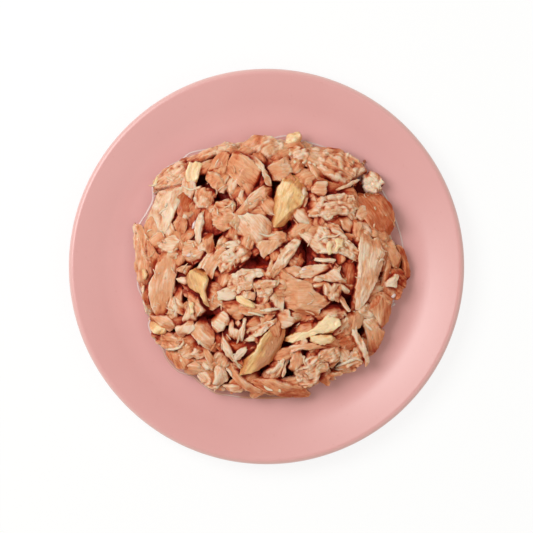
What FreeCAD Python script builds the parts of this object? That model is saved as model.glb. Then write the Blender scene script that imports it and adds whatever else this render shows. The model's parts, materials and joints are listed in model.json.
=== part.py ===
"""A serving of wet cat food, flaked tuna with a few pale pieces, heaped on a small round glazed plate.

Millimetres. The origin is on the table at the plate's axis, +Z up. The heap lies on the plate's flat well.
"""
import FreeCAD, Part
import math
import os
from FreeCAD import Vector

# The plate: stoneware with a flat well, a wide gentle flange, a bullnose rim and a foot ring.
# The curve from the well into the flange starts at the well's edge and ends two easings further out.
WELL_RADIUS = 55.0
WELL_EASING = 4.0
FLANGE_WIDTH = 20.0
FLANGE_RISE = 5.0
WALL = 4.0
RIM_ROUND = 1.8
RIM_ROUND_LIMIT = 0.45
FOOT_RADIUS = 45.0
FOOT_WIDTH = 3.2
FOOT_HEIGHT = 2.5
FOOT_ROUND = 0.9

# The heap: a dome of loose flakes, with a clear margin to where the well starts to rise.
WELL_MARGIN = 0.5
HEAP_HEIGHT = 19.0
CROWN_POWER = 3.0
SHOULDER_POWER = 0.6
CORE_SHARE = 0.9
CORE_SIDES = 26
CORE_WOBBLE = 0.025
CORE_SINK = 1.2
SLOPE_FOLLOWED = 0.75

# The flakes' places were laid out on a heap of this radius, and spread with it.
LAID_OUT_RADIUS = 54.5

# Each kind of flake: thickness, how square its ends are, share of its outline left at the top and at the
# underside, and how far its top stands proud of the dome.
KINDS = {
    "slab": (5.0, 3.4, 0.80, 0.85, 1.1),
    "chunk": (8.0, 2.3, 0.62, 0.90, 1.4),
    "leaf": (3.6, 1.7, 0.72, 0.80, 1.3),
    "strip": (3.4, 2.6, 0.60, 0.80, 1.0),
    "pale": (4.2, 2.5, 0.76, 0.80, 2.0),
}
FLAKE_SIDES = 8
FLAKE_WOBBLE = 0.07

# Smaller flakes that fill between the main ones, in rings: share of the heap's radius, how many, and how far
# below the dome they lie. The first ring lies at the heap's foot, under the flakes of the second.
FILL_RINGS = [(0.85, 19, 5.0), (0.84, 18, 0), (0.70, 14, 0), (0.53, 10, 0), (0.34, 7, 0), (0.12, 3, 0)]
FILL_LENGTH = 11.0
FILL_WIDTH = 7.0
FILL_PITCH = 9.0
FILL_TURN = 137.5

# The flakes that give the heap its form: x, y, length, width, heading in degrees, pitch along the length.
FLAKES = {
    "slab": [
        (-40, 20, 17, 11, 58, 4), (-18, 38, 10, 8, 40, -6), (-8.5, 36.5, 16, 12, -40, 8),
        (41, 20, 17, 12, -75, 2), (11.5, -11, 23, 12, -25, -5), (-35, 8.5, 12, 7, 5, 3),
        (38.2, -1, 27, 10, 82, 3), (4.5, 36, 9, 7, 10, 0), (2, 7.5, 9, 7, 15, -8),
    ],
    "chunk": [
        (-35, 32, 15, 10, 35, 0), (-20.5, 41, 20, 8, 25, 0), (-1, 43, 13, 11, 85, -6),
        (26, 37.5, 25, 13, -25, 3), (24, 22.3, 20, 9, 8, -4), (-24, 25, 12, 9, 75, 6),
        (-15.5, 18, 12, 10, 60, 0), (-4, 14.5, 18, 12, -15, 5), (-12, 5, 14, 10, 30, -4),
        (-9, -5, 17, 8, 15, 4), (22, 11, 25, 13, -35, 0), (15, -35.5, 17, 15, 20, -3),
        (-34.5, -27.5, 14, 8, -5, 0), (-33, -35, 11, 9, -65, -6), (29.5, -36, 15, 9, 25, 0),
        (23, -7.5, 11, 10, 0, 6), (12.5, 41.5, 9, 8, 50, 0), (40, 32, 10, 8, -50, 0),
        (-26, -36, 10, 8, -70, 0), (-32.5, 15.5, 10, 7, 75, 0), (-4, -24, 12, 8, 60, 3),
    ],
    "leaf": [
        (-4.5, 24.5, 18, 6, 38, 4), (-38.5, -6, 24, 9, 83, 3), (-29.5, -20, 13, 7, 70, -5),
        (-23.3, -26.5, 14, 7, -40, 6), (-37.5, -20, 12, 7, -30, 4), (-16.8, -21, 10, 7, 35, 0),
        (43, -16, 19, 8, 80, -4), (38, -25, 20, 7, -72, 5), (5.5, -45.5, 23, 7, -20, 2),
        (-16, -37, 18, 7, -58, -4), (-5.5, -15.3, 22, 6, -10, 3), (-20.5, -9.5, 12, 7, -45, 5),
        (-21, 2, 11, 7, 50, -6), (7, 3.5, 19, 6, 52, 5), (31, 31, 14, 6, 24, 0),
    ],
    "strip": [
        (-25.5, 13, 13, 6, 80, 4), (-46.8, 4, 22, 7, 95, 0), (49, 3, 19, 6, -65, 0),
        (18, -1.5, 16, 5, 12, -3), (33.5, -22, 14, 5, -80, 4), (14, -23, 12, 5, 25, 0),
        (-17.5, 31, 12, 6, -35, 5), (-13, -43.5, 12, 6, -10, 0), (47, -7, 10, 6, 60, 0),
    ],
}

# The pale pieces, each as large as a berry or more, in the same order of sizes.
PALE_PIECES = [
    (7.5, 25, 20, 10, 68, 5), (-25.5, -5.5, 11, 7.5, -65, 8), (-1.5, -31, 24, 8, 58, -4),
    (17, -23.5, 22, 6, 22, 4), (21.5, -28, 9, 5, -5, 0), (-27.5, 35.5, 9, 6, 80, 6),
    (10.8, 47.8, 7.5, 5, 25, 0), (-41.5, -21.8, 6.5, 5.5, 40, 0),
]

plate_radius = WELL_RADIUS + FLANGE_WIDTH
well_floor = FOOT_HEIGHT + WALL
heap_radius = WELL_RADIUS - WELL_MARGIN


def corner(before, at, after, radius):
    """The start, middle and end of the arc that rounds one corner of a profile."""
    into = (at - before).normalize()
    out = (after - at).normalize()
    turn = into.getAngle(out)
    reach = radius * math.tan(turn / 2)
    bisector = (out - into).normalize()
    middle = at + bisector * (radius / math.cos(turn / 2) - radius)
    return at - into * reach, middle, at + out * reach


def rounded_profile(corners):
    """A face in the XZ plane from (r, z, rounding radius) corners, closed from the last to the first."""
    points = [Vector(r, 0, z) for r, z, _ in corners]
    edges = []
    pen = points[0]
    for i in range(1, len(corners)):
        radius = corners[i][2]
        if radius == 0:
            edges.append(Part.LineSegment(pen, points[i]).toShape())
            pen = points[i]
            continue
        start, middle, end = corner(points[i - 1], points[i], points[(i + 1) % len(points)], radius)
        edges.append(Part.LineSegment(pen, start).toShape())
        edges.append(Part.Arc(start, middle, end).toShape())
        pen = end
    edges.append(Part.LineSegment(pen, points[0]).toShape())
    return Part.Face(Part.Wire(edges))


def make_plate():
    """The plate, turned as one piece about its axis, with the same wall in the well and the flange."""
    break_radius = WELL_RADIUS + WELL_EASING
    slope = math.atan2(FLANGE_RISE, plate_radius - break_radius)
    half_turn = math.tan(slope / 2)
    under_break = break_radius + WALL * half_turn
    rim_top = well_floor + FLANGE_RISE
    rim_round = min(RIM_ROUND, RIM_ROUND_LIMIT * WALL)
    profile = rounded_profile([
        (0, well_floor, 0),
        (break_radius, well_floor, WELL_EASING / half_turn),
        (plate_radius, rim_top, rim_round),
        (plate_radius, rim_top - WALL / math.cos(slope), rim_round),
        (under_break, FOOT_HEIGHT, WELL_EASING / half_turn),
        (FOOT_RADIUS, FOOT_HEIGHT, 0),
        (FOOT_RADIUS, 0, FOOT_ROUND),
        (FOOT_RADIUS - FOOT_WIDTH, 0, FOOT_ROUND),
        (FOOT_RADIUS - FOOT_WIDTH, FOOT_HEIGHT, 0),
        (0, FOOT_HEIGHT, 0),
    ])
    return profile.revolve(Vector(0, 0, 0), Vector(0, 0, 1), 360)


def stacked(outline, levels):
    """A solid with flat faces from one outline drawn at several heights, each (height, share of full size)."""
    rings = [[Vector(x * share, y * share, z) for x, y in outline] for z, share in levels]
    around = len(outline)
    faces = [Part.makePolygon(ring + ring[:1]) for ring in (rings[0], rings[-1])]
    for lower, upper in zip(rings, rings[1:]):
        for i in range(around):
            j = (i + 1) % around
            faces.append(Part.makePolygon([lower[i], lower[j], upper[j], upper[i], lower[i]]))
    solid = Part.Solid(Part.Shell([Part.Face(wire) for wire in faces]))
    if solid.Volume < 0:
        solid.reverse()
    return solid


def dome(x, y):
    """The heap's height above the well at a point, without the flakes' own relief."""
    out = min(math.hypot(x, y) / heap_radius, 1)
    return HEAP_HEIGHT * (1 - out ** CROWN_POWER) ** SHOULDER_POWER


def flake_outline(length, width, squareness, wobble_start):
    """A closed outline between an ellipse and a rectangle, with uneven corners."""
    outline = []
    for i in range(FLAKE_SIDES):
        angle = 2 * math.pi * (i + 0.5) / FLAKE_SIDES
        cosine = math.cos(angle)
        sine = math.sin(angle)
        reach = (abs(cosine) ** squareness + abs(sine) ** squareness) ** (-1 / squareness)
        reach *= 1 + FLAKE_WOBBLE * math.sin(wobble_start + 2.3 * i)
        outline.append((length / 2 * reach * cosine, width / 2 * reach * sine))
    return outline


def make_flake(kind, x, y, length, width, heading, pitch, drop=0):
    """One flake, turned to its heading and leaned with the dome's slope, its top just proud of the dome."""
    thickness, squareness, top_share, under_share, proud = KINDS[kind]
    spread = heap_radius / LAID_OUT_RADIUS
    x *= spread
    y *= spread
    outline = flake_outline(length, width, squareness, wobble_start=x + 2 * y)
    solid = stacked(outline, [(-thickness, under_share), (-thickness / 2, 1), (0, top_share)])
    step = 1.0
    slope_x = (dome(x + step, y) - dome(x - step, y)) / (2 * step)
    slope_y = (dome(x, y + step) - dome(x, y - step)) / (2 * step)
    steepness = math.degrees(math.atan(SLOPE_FOLLOWED * math.hypot(slope_x, slope_y)))
    solid.rotate(Vector(), Vector(0, 1, 0), -pitch)
    solid.rotate(Vector(), Vector(0, 0, 1), heading)
    if steepness > 0:
        solid.rotate(Vector(), Vector(slope_y, -slope_x, 0), -steepness)
    solid.translate(Vector(x, y, well_floor + dome(x, y) + proud - drop))
    return solid


def make_fill():
    """Flakes on rings about the axis, each turned on from the last so that no two neighbours line up."""
    kinds = ("chunk", "strip", "leaf")
    flakes = []
    for share, count, drop in FILL_RINGS:
        for i in range(count):
            number = len(flakes)
            angle = 2 * math.pi * (i + share) / count
            x = share * LAID_OUT_RADIUS * math.cos(angle)
            y = share * LAID_OUT_RADIUS * math.sin(angle)
            pitch = FILL_PITCH * math.sin(FILL_TURN * number)
            flakes.append(
                make_flake(kinds[number % 3], x, y, FILL_LENGTH, FILL_WIDTH, FILL_TURN * number, pitch, drop)
            )
    return flakes


def make_core():
    """The packed middle of the heap, a little inside its outline, that carries the flakes."""
    radius = CORE_SHARE * heap_radius
    outline = []
    for i in range(CORE_SIDES):
        angle = 2 * math.pi * i / CORE_SIDES
        reach = radius * (1 + CORE_WOBBLE * math.sin(5 * angle + 1) + CORE_WOBBLE * math.cos(3 * angle))
        outline.append((reach * math.cos(angle), reach * math.sin(angle)))
    levels = []
    for share in (1, 0.93, 0.82, 0.66, 0.46, 0.22):
        levels.append((well_floor + dome(share * radius, 0) - CORE_SINK, share))
    return stacked(outline, [(well_floor, 1)] + levels)


def make_heap():
    """The whole heap as one solid, cut flat where it rests in the well and kept inside the well's edge."""
    flakes = [make_flake(kind, *row) for kind, rows in FLAKES.items() for row in rows]
    heap = make_core().multiFuse(flakes + make_fill())
    room = Part.makeCylinder(heap_radius, 2 * HEAP_HEIGHT, Vector(0, 0, well_floor))
    heap = heap.common(room)
    return max(heap.Solids, key=lambda solid: solid.Volume)


def make_pale_pieces():
    """The pale pieces, each trimmed by those before it and by the well, so that none overlaps."""
    room = Part.makeCylinder(heap_radius, 2 * HEAP_HEIGHT, Vector(0, 0, well_floor))
    pieces = []
    for row in PALE_PIECES:
        piece = make_flake("pale", *row).common(room)
        for earlier in pieces:
            piece = piece.cut(earlier)
        pieces.append(piece.Solids[0])
    return pieces


def export(shape, node):
    shape.exportStep(os.path.join("parts", node + ".step"))


os.makedirs("parts", exist_ok=True)
export(make_plate(), "plate")
pale_pieces = make_pale_pieces()
heap = make_heap()
for piece in pale_pieces:
    heap = heap.cut(piece)
heap = max(heap.Solids, key=lambda solid: solid.Volume)
export(heap, "tuna_heap")
for number, piece in enumerate(pale_pieces, start=1):
    export(piece, "pale_piece_%d" % number)
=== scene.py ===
import bmesh
import bpy
import json
import math
import numpy as np
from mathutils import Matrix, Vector
from mathutils.geometry import delaunay_2d_cdt

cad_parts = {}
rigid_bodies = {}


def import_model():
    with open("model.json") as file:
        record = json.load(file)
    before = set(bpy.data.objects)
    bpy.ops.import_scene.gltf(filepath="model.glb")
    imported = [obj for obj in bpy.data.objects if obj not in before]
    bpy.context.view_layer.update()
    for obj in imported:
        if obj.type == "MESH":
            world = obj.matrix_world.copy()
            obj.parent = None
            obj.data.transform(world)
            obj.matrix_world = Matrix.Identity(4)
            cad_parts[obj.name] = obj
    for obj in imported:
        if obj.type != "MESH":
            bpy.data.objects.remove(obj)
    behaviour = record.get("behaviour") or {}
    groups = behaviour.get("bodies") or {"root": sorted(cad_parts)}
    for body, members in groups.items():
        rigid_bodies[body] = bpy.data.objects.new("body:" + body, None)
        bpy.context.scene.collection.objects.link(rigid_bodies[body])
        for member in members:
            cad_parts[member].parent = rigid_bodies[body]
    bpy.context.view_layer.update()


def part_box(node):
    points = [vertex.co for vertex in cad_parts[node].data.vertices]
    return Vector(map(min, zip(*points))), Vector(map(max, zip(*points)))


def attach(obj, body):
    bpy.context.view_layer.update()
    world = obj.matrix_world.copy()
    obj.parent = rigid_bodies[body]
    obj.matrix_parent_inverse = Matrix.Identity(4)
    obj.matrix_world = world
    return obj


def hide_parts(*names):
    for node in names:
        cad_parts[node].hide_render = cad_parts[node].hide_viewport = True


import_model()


# ---------------------------------------------------------------- studio
# Looking straight down on the served plate through a long lens, with one large soft lamp high on the left and
# far side, a paler one opposite, and an even pale room.
plate_low, plate_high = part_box("plate")
PLATE_SHARE_OF_VIEW = 0.7435
CAMERA_DISTANCE = 0.9
SENSOR_WIDTH = 36

camera = bpy.data.objects.new("camera", bpy.data.cameras.new("camera"))
camera.location = (0, 0, plate_high.z + CAMERA_DISTANCE)
camera.data.sensor_width = SENSOR_WIDTH
camera.data.lens = SENSOR_WIDTH * CAMERA_DISTANCE * PLATE_SHARE_OF_VIEW / (plate_high.x - plate_low.x)
camera.data.clip_start = 0.01
bpy.context.scene.collection.objects.link(camera)
bpy.context.scene.camera = camera
bpy.context.scene.view_settings.view_transform = "Standard"


def soft_lamp(name, bearing, height, distance, size, power):
    """A square lamp aimed at the heap, from a bearing from +X and an angle above the table, in degrees."""
    lamp = bpy.data.objects.new(name, bpy.data.lights.new(name, "AREA"))
    lamp.data.size = size
    lamp.data.energy = power
    turn = math.radians(bearing)
    rise = math.radians(height)
    away = Vector((math.cos(turn) * math.cos(rise), math.sin(turn) * math.cos(rise), math.sin(rise)))
    lamp.location = away * distance
    lamp.rotation_euler = away.to_track_quat("Z", "Y").to_euler()
    bpy.context.scene.collection.objects.link(lamp)


soft_lamp("key", bearing=152, height=54, distance=0.9, size=0.5, power=5.5)
soft_lamp("fill", bearing=-30, height=58, distance=1.1, size=0.9, power=1.8)


# ---------------------------------------------------------------- glazed plate
# A round side plate of stoneware, pressed on a wheel and dipped in a soft pink glaze that thins over the rim; the
# paler rim is also painted light.
# The wall is even, the rim is a full bullnose, and the foot ring is wiped bare so that it doesn't stick in the kiln.

# Here and below, the sizes of meshes are in millimetres.
MM = 0.001
WELL_RADIUS = 55.0
WELL_EASING = 4.0
FLANGE_RISE = 5.0
WALL = 4.0
RIM_ROUND = 1.8
FOOT_RADIUS = 45.0
FOOT_WIDTH = 3.2
FOOT_HEIGHT = 2.5
FOOT_ROUND = 0.9
FOOT_HOLLOW_ROUND = 1.2
THIN_GLAZE_AND_LIGHT_FROM = 73.2
THIN_GLAZE_AND_LIGHT_TO = 74.6
PLATE_TURNS = 256
plate_radius = plate_high.x / MM
well_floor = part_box("tuna_heap")[0].z / MM


class Value:
    """A number that varies over a surface. Expressions on values add the Math nodes for them."""

    def __init__(self, paint, socket):
        self.paint = paint
        self.socket = socket

    def maths(self, operation, first, second=0.0, clamp=False):
        settings = {"operation": operation, "use_clamp": clamp}
        return self.paint.value("ShaderNodeMath", settings, {0: first, 1: second})

    def __add__(self, other):
        return self.maths("ADD", self, other)

    def __sub__(self, other):
        return self.maths("SUBTRACT", self, other)

    def __rsub__(self, other):
        return self.maths("SUBTRACT", other, self)

    def __mul__(self, other):
        return self.maths("MULTIPLY", self, other)

    def clamped(self):
        return self.maths("ADD", self, 0.0, clamp=True)

    __radd__ = __add__
    __rmul__ = __mul__


def plug(tree, socket, value):
    """Links a socket to a Value or to another socket, or sets its own number or colour."""
    if isinstance(value, Value):
        value = value.socket
    if isinstance(value, bpy.types.NodeSocket):
        tree.links.new(value, socket)
    else:
        socket.default_value = value


def add_node(tree, kind, settings, inputs):
    """Any node, with its settings made first and then the values or links of its sockets."""
    made = tree.nodes.new(kind)
    for name, setting in settings.items():
        setattr(made, name, setting)
    for socket, value in inputs.items():
        plug(tree, made.inputs[socket], value)
    return made


def colour(red, green, blue):
    """A screen colour from 0 to 255 as the linear colour that a shader takes."""
    linear = []
    for part in (red / 255, green / 255, blue / 255):
        linear.append(part / 12.92 if part <= 0.04045 else ((part + 0.055) / 1.055) ** 2.4)
    return (*linear, 1.0)


class Paint:
    """One material with a Principled shader, whose constants are set on the shader's own sockets."""

    def __init__(self, name, constants):
        self.material = bpy.data.materials.new(name)
        self.material.use_nodes = True
        self.tree = self.material.node_tree
        self.shader = self.tree.nodes["Principled BSDF"]
        for socket, value in constants.items():
            self.shader.inputs[socket].default_value = value

    def node(self, kind, settings, inputs):
        return add_node(self.tree, kind, settings, inputs)

    def value(self, kind, settings, inputs, output=0):
        return Value(self, self.node(kind, settings, inputs).outputs[output])

    def coat(self, socket, value):
        """What varies over the surface, brought to the shader."""
        plug(self.tree, self.shader.inputs[socket], value)

    def shared(self, factor, first, second):
        """Two shaders mixed by a factor, as the whole surface."""
        both = self.node("ShaderNodeMixShader", {}, {0: factor, 1: first.outputs[0], 2: second.outputs[0]})
        self.tree.links.new(both.outputs[0], self.tree.nodes["Material Output"].inputs["Surface"])

    def mix(self, first, second, factor, kind="MIX"):
        """Two colours blended by a factor from 0 to 1."""
        settings = {"data_type": "RGBA", "blend_type": kind, "clamp_factor": True}
        return self.node("ShaderNodeMix", settings, {0: factor, 6: first, 7: second}).outputs[2]

    def ramp(self, factor, low, high):
        """A smooth step from 0 at low to 1 at high."""
        settings = {"interpolation_type": "SMOOTHSTEP"}
        return self.value("ShaderNodeMapRange", settings, {0: factor, 1: low, 2: high, 3: 0.0, 4: 1.0})

    def stretched(self, vector, scale):
        """A position with each axis scaled, for a pattern that runs along one of them."""
        return self.node("ShaderNodeVectorMath", {"operation": "MULTIPLY"}, {0: vector, 1: scale}).outputs[0]

    def noise(self, vector, scale, detail=2.0, roughness=0.5):
        inputs = {"Vector": vector, "Scale": scale, "Detail": detail, "Roughness": roughness}
        return self.value("ShaderNodeTexNoise", {}, inputs)

    def bumps(self, height, strength, distance):
        inputs = {"Height": height, "Strength": strength, "Distance": distance}
        self.coat("Normal", self.node("ShaderNodeBump", {}, inputs).outputs[0])

    def position(self):
        return self.node("ShaderNodeTexCoord", {}, {}).outputs["Object"]


def rounded(corners, steps):
    """Points along an open profile of (radius, height, rounding) corners, with each arc in that many steps."""
    points = [np.array(corners[0][:2])]
    for before, at, after in zip(corners, corners[1:], corners[2:]):
        here = np.array(at[:2])
        into = here - np.array(before[:2])
        out = np.array(after[:2]) - here
        into = into / np.linalg.norm(into)
        out = out / np.linalg.norm(out)
        turn = math.acos(into @ out)
        side = (out - into * (out @ into)) / math.sin(turn)
        start = here - into * at[2] * math.tan(turn / 2)
        for step in range(steps + 1):
            angle = turn * step / steps
            points.append(start + at[2] * (into * math.sin(angle) + side * (1 - math.cos(angle))))
    points.append(np.array(corners[-1][:2]))
    return points


def mesh_object(name, points, faces):
    """A smooth-shaded object at the origin, from points in mm and faces that point outwards."""
    mesh = bpy.data.meshes.new(name)
    mesh.from_pydata((np.asarray(points) * MM).tolist(), [], faces)
    mesh.polygons.foreach_set("use_smooth", [True] * len(mesh.polygons))
    made = bpy.data.objects.new(name, mesh)
    bpy.context.scene.collection.objects.link(made)
    return made


def turned(profile, turns):
    """Points and faces turned about Z, from a profile that runs outwards on top and back underneath to the axis."""
    rings = profile[1:-1]
    points = [(0, 0, profile[0][1]), (0, 0, profile[-1][1])]
    for radius, height in rings:
        for i in range(turns):
            angle = 2 * math.pi * i / turns
            points.append((radius * math.cos(angle), radius * math.sin(angle), height))
    faces = []
    last = 2 + (len(rings) - 1) * turns
    for i in range(turns):
        j = (i + 1) % turns
        faces.append((0, 2 + i, 2 + j))
        for inner in range(2, last, turns):
            outer = inner + turns
            faces.append((inner + i, outer + i, outer + j, inner + j))
        faces.append((1, last + j, last + i))
    return points, faces


break_radius = WELL_RADIUS + WELL_EASING
slope = math.atan2(FLANGE_RISE, plate_radius - break_radius)
half_turn = math.tan(slope / 2)
rim_corner = well_floor + FLANGE_RISE
plate_profile = rounded([
    (0, well_floor, 0),
    (break_radius, well_floor, WELL_EASING / half_turn),
    (plate_radius, rim_corner, RIM_ROUND),
    (plate_radius, rim_corner - WALL / math.cos(slope), RIM_ROUND),
    (break_radius + WALL * half_turn, FOOT_HEIGHT, WELL_EASING / half_turn),
    (FOOT_RADIUS, FOOT_HEIGHT, FOOT_HOLLOW_ROUND),
    (FOOT_RADIUS, 0, FOOT_ROUND),
    (FOOT_RADIUS - FOOT_WIDTH, 0, FOOT_ROUND),
    (FOOT_RADIUS - FOOT_WIDTH, FOOT_HEIGHT, FOOT_HOLLOW_ROUND),
    (0, FOOT_HEIGHT, 0),
], steps=8)
plate = mesh_object("glazed_plate", *turned(plate_profile, PLATE_TURNS))

glaze = Paint("pink_glaze", {"IOR": 1.5, "Coat Weight": 0.55, "Coat IOR": 1.5, "Coat Roughness": 0.3})
place = glaze.position()
cloud = glaze.noise(place, 45.0, detail=3.0)
pooled = glaze.mix(colour(217, 157, 157), colour(221, 163, 163), cloud)
speck = glaze.ramp(glaze.noise(place, 900.0, detail=1.0), 0.70, 0.78)
pooled = glaze.mix(pooled, colour(205, 140, 134), speck * 0.25)
out = glaze.value("ShaderNodeVectorMath", {"operation": "LENGTH"}, {0: glaze.stretched(place, (1, 1, 0))}, output=1)
# Paler over the rim: the glaze thins there, and the pale band is also painted light that keeps the rim's shaded side
# bright.
thin_glaze_and_light = glaze.ramp(out, THIN_GLAZE_AND_LIGHT_FROM * MM, THIN_GLAZE_AND_LIGHT_TO * MM)
pooled = glaze.mix(pooled, colour(240, 206, 202), thin_glaze_and_light * 0.4)
height = glaze.value("ShaderNodeSeparateXYZ", {}, {0: place}, output=2)
bare_foot = 1 - glaze.ramp(height, 0.25 * MM, 0.45 * MM)
clay = glaze.mix(colour(214, 196, 176), colour(198, 176, 154), glaze.noise(place, 600.0, detail=4.0))
glaze.coat("Base Color", glaze.mix(pooled, clay, bare_foot))
glaze.coat("Roughness", 0.33 + cloud * 0.06 + bare_foot * 0.45)
glaze.bumps(glaze.noise(place, 160.0, detail=1.0), strength=0.06, distance=0.0006)
plate.data.materials.append(glaze.material)
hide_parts("plate")
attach(plate, "root")


# ---------------------------------------------------------------- heap core
# The imported middle of the heap, where small flakes and crumbs have settled together. It is seen only in the shaded
# gaps between the flakes that lie on it, so it is a low rough dome given the flakes' deepest tone as painted shade.
HEAP_RADIUS = 54.5
HEAP_HEIGHT = 19.0
CROWN_POWER = 3.0
SHOULDER_POWER = 0.6
CORE_SHARE = 0.8
CORE_DROP = 2.2
CORE_EDGE = 1.0
CORE_RELIEF = 1.1
CORE_RINGS = 110
CORE_SPOKES = 360
PIT_DEPTH = 5.0
PIT_RADIUS = 2.8

# Where the heap is open and the eye sees down between the flakes.
GAPS = [
    (-30, 23), (-23.5, 33), (-20, 25), (-22, 16), (-17, 12), (2.5, 30), (9, 16), (-4, 3), (13.5, 7), (12, 2),
    (-18.5, -5), (-34, -8), (-33, -3), (-20, -18), (-15, -23), (-17.5, -30), (9.5, -17), (25, -13), (28, -29),
    (8, -29), (10, -41), (43, -4), (30, -14), (35, 29), (23.5, 28.5), (33.5, 30), (-30, -11), (-26, -22),
    (-2, -38.5), (-14, -41.5), (-25.5, .5), (10.5, -23), (37, -24), (26, -36),
]


def dome(x, y):
    """The heap's height above the well, before the flakes' own relief."""
    out = np.minimum(np.hypot(x, y) / HEAP_RADIUS, 1)
    return HEAP_HEIGHT * (1 - out ** CROWN_POWER) ** SHOULDER_POWER


def lumps(points, size, seed):
    """Smooth random values from -1 to 1 over space, one lump to about each size, hashed from a grid's corners."""
    place = points / size
    corner = np.floor(place).astype(np.int64)
    part = place - corner
    part = part * part * (3 - 2 * part)
    total = np.zeros(len(points))
    for x in (0, 1):
        for y in (0, 1):
            for z in (0, 1):
                mixed = (corner[:, 0] + x) * 73856093 ^ (corner[:, 1] + y) * 19349663
                mixed = mixed ^ (corner[:, 2] + z) * 83492791 ^ seed * 2654435761
                mixed = (mixed ^ (mixed >> 13)) * 1274126177 & 0xFFFFFFFF
                mixed = (mixed ^ (mixed >> 16)) & 0xFFFF
                weight = np.abs(1 - x - part[:, 0]) * np.abs(1 - y - part[:, 1]) * np.abs(1 - z - part[:, 2])
                total += weight * (mixed / 32767.5 - 1)
    return total


def core_height(x, y):
    """The core's own height above the well: the dome, drawn in, lowered, and with a pit under each gap."""
    inner = dome(x / CORE_SHARE, y / CORE_SHARE) - CORE_DROP
    for gap_x, gap_y in GAPS:
        inner = inner - PIT_DEPTH * np.exp(-((x - gap_x) ** 2 + (y - gap_y) ** 2) / PIT_RADIUS ** 2)
    return np.where(np.hypot(x, y) < CORE_SHARE * HEAP_RADIUS, np.maximum(inner, CORE_EDGE), 0)


core_radius = CORE_SHARE * HEAP_RADIUS
core_rings = [(core_radius * ring / CORE_RINGS, well_floor) for ring in range(1, CORE_RINGS + 1)]
middle_height = well_floor + float(core_height(0.0, 0.0))
core_points, core_faces = turned([(0, middle_height), *core_rings, (0, well_floor)], CORE_SPOKES)
core_points = np.array(core_points)
relief = 2 * np.abs(lumps(core_points, 3.4, seed=11)) + np.abs(lumps(core_points, 1.7, seed=12)) - 0.9
swell = core_height(core_points[:, 0], core_points[:, 1])
swell = np.maximum(swell + CORE_RELIEF * relief * np.minimum(swell / 4, 1), 0.3)
swell[1] = 0
swell[-CORE_SPOKES:] = 0
core_points[:, 2] = well_floor + swell
core = mesh_object("heap_core", core_points, core_faces)


def noted(made, name, numbers):
    """Keeps a number for each point of an object, for its material to read."""
    made.data.attributes.new(name, "FLOAT", "POINT").data.foreach_set("value", numbers.astype(np.float32))


def marked(made, known):
    """Gives an object the fibre positions, painted light and shade, and tones of its points."""
    noted(made, "painted_light_and_shade", known[:, 3])
    noted(made, "tone", known[:, 4])
    fibre = made.data.attributes.new("fibre", "FLOAT_VECTOR", "POINT")
    fibre.data.foreach_set("vector", known[:, :3].astype(np.float32).ravel())


def attribute(paint, name, output="Fac"):
    return paint.node("ShaderNodeAttribute", {"attribute_name": name}, {}).outputs[output]


def flesh(name, light, middle, deep, crease_shade, gap, constants):
    """Moist cooked meat grained along its fibres, painted paler where it stands up, with painted shade deeper and
    redder in the creases.
    """
    paint = Paint(name, constants)
    fibre = attribute(paint, "fibre", "Vector")
    tone = Value(paint, attribute(paint, "tone"))
    painted_light_and_shade = Value(paint, attribute(paint, "painted_light_and_shade"))
    painted_shade = Value(paint, attribute(paint, "painted_shade"))
    grain = paint.noise(paint.stretched(fibre, (0.12, 1, 1)), 1.3, detail=3.0)
    cloud = paint.noise(fibre, 0.22, detail=2.0)
    # Painted light and shade from the flake: paler at edges and ridges as painted highlight, deeper on steep facets,
    # grooves and sides as painted shade.
    shade = (tone * 0.8 + (cloud - 0.5) * 0.7 + (grain - 0.5) * 0.8 - painted_light_and_shade * 0.35).clamped()
    base = paint.mix(light, middle, paint.ramp(shade, 0.0, 0.5))
    base = paint.mix(base, deep, paint.ramp(shade, 0.45, 1.0))
    # Painted shade where the sky is hidden: a slight darkening, then the crease colour, then the gap colour.
    low = painted_shade + (grain - 0.5) * 0.1
    base = paint.mix(base, colour(253, 224, 202), paint.ramp(low, 0.08, 0.3), kind="MULTIPLY")
    base = paint.mix(base, crease_shade, paint.ramp(low, 0.17, 0.46))
    base = paint.mix(base, gap, paint.ramp(low, 0.36, 0.54))
    wet = paint.ramp(paint.noise(fibre, 0.35, detail=3.0), 0.45, 0.62) * (1 - paint.ramp(low, 0.1, 0.35))
    paint.coat("Base Color", base)
    paint.coat("Roughness", 0.5 + grain * 0.2)
    paint.coat("Coat Weight", wet)
    ripple = paint.noise(paint.stretched(fibre, (0.25, 1, 1)), 1.5, detail=4.0, roughness=0.65)
    paint.bumps(ripple, strength=0.7, distance=0.0009)
    return paint.material


MOIST = {"IOR": 1.32, "Subsurface Weight": 0.3, "Subsurface Scale": 0.002, "Coat Roughness": 0.14,
         "Coat IOR": 1.36}
# The last two colours are painted shade, for the creases and for the gaps.
tuna = flesh("moist_tuna", colour(240, 215, 192), colour(227, 165, 125), colour(190, 92, 48),
             colour(162, 32, 0), colour(104, 8, 0), MOIST)

# The core takes the deepest tone all over, as painted shade for the gaps it is seen through.
marked(core, np.tile((0, 0, 0, 0, 1.0), (len(core_points), 1)))
core.data.materials.append(tuna)
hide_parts("tuna_heap")
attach(core, "root")

# Every piece that is given painted shade in its gaps once the whole heap is laid, with its points.
heap_pieces = [(core, core_points)]


# ---------------------------------------------------------------- tuna flakes
# Cooked tuna comes apart along its muscle sheets into slabs and leaves, and across them into fibrous chunks and
# narrow strips. Each flake is one closed body with a broken, facetted top, torn ends and layered sides. The flakes
# are laid one after another, and each settles on what is under it.

# The points of a flake are closer together on those that show than on the small ones that fill between them.
SPREAD = 1.08
PITCH = 0.36
FILL_PITCH = 0.55
WALL_STEPS = (0.25, 0.5, 0.75)
FEWEST_FACETS = 6
MOST_FACETS = 8

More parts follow.
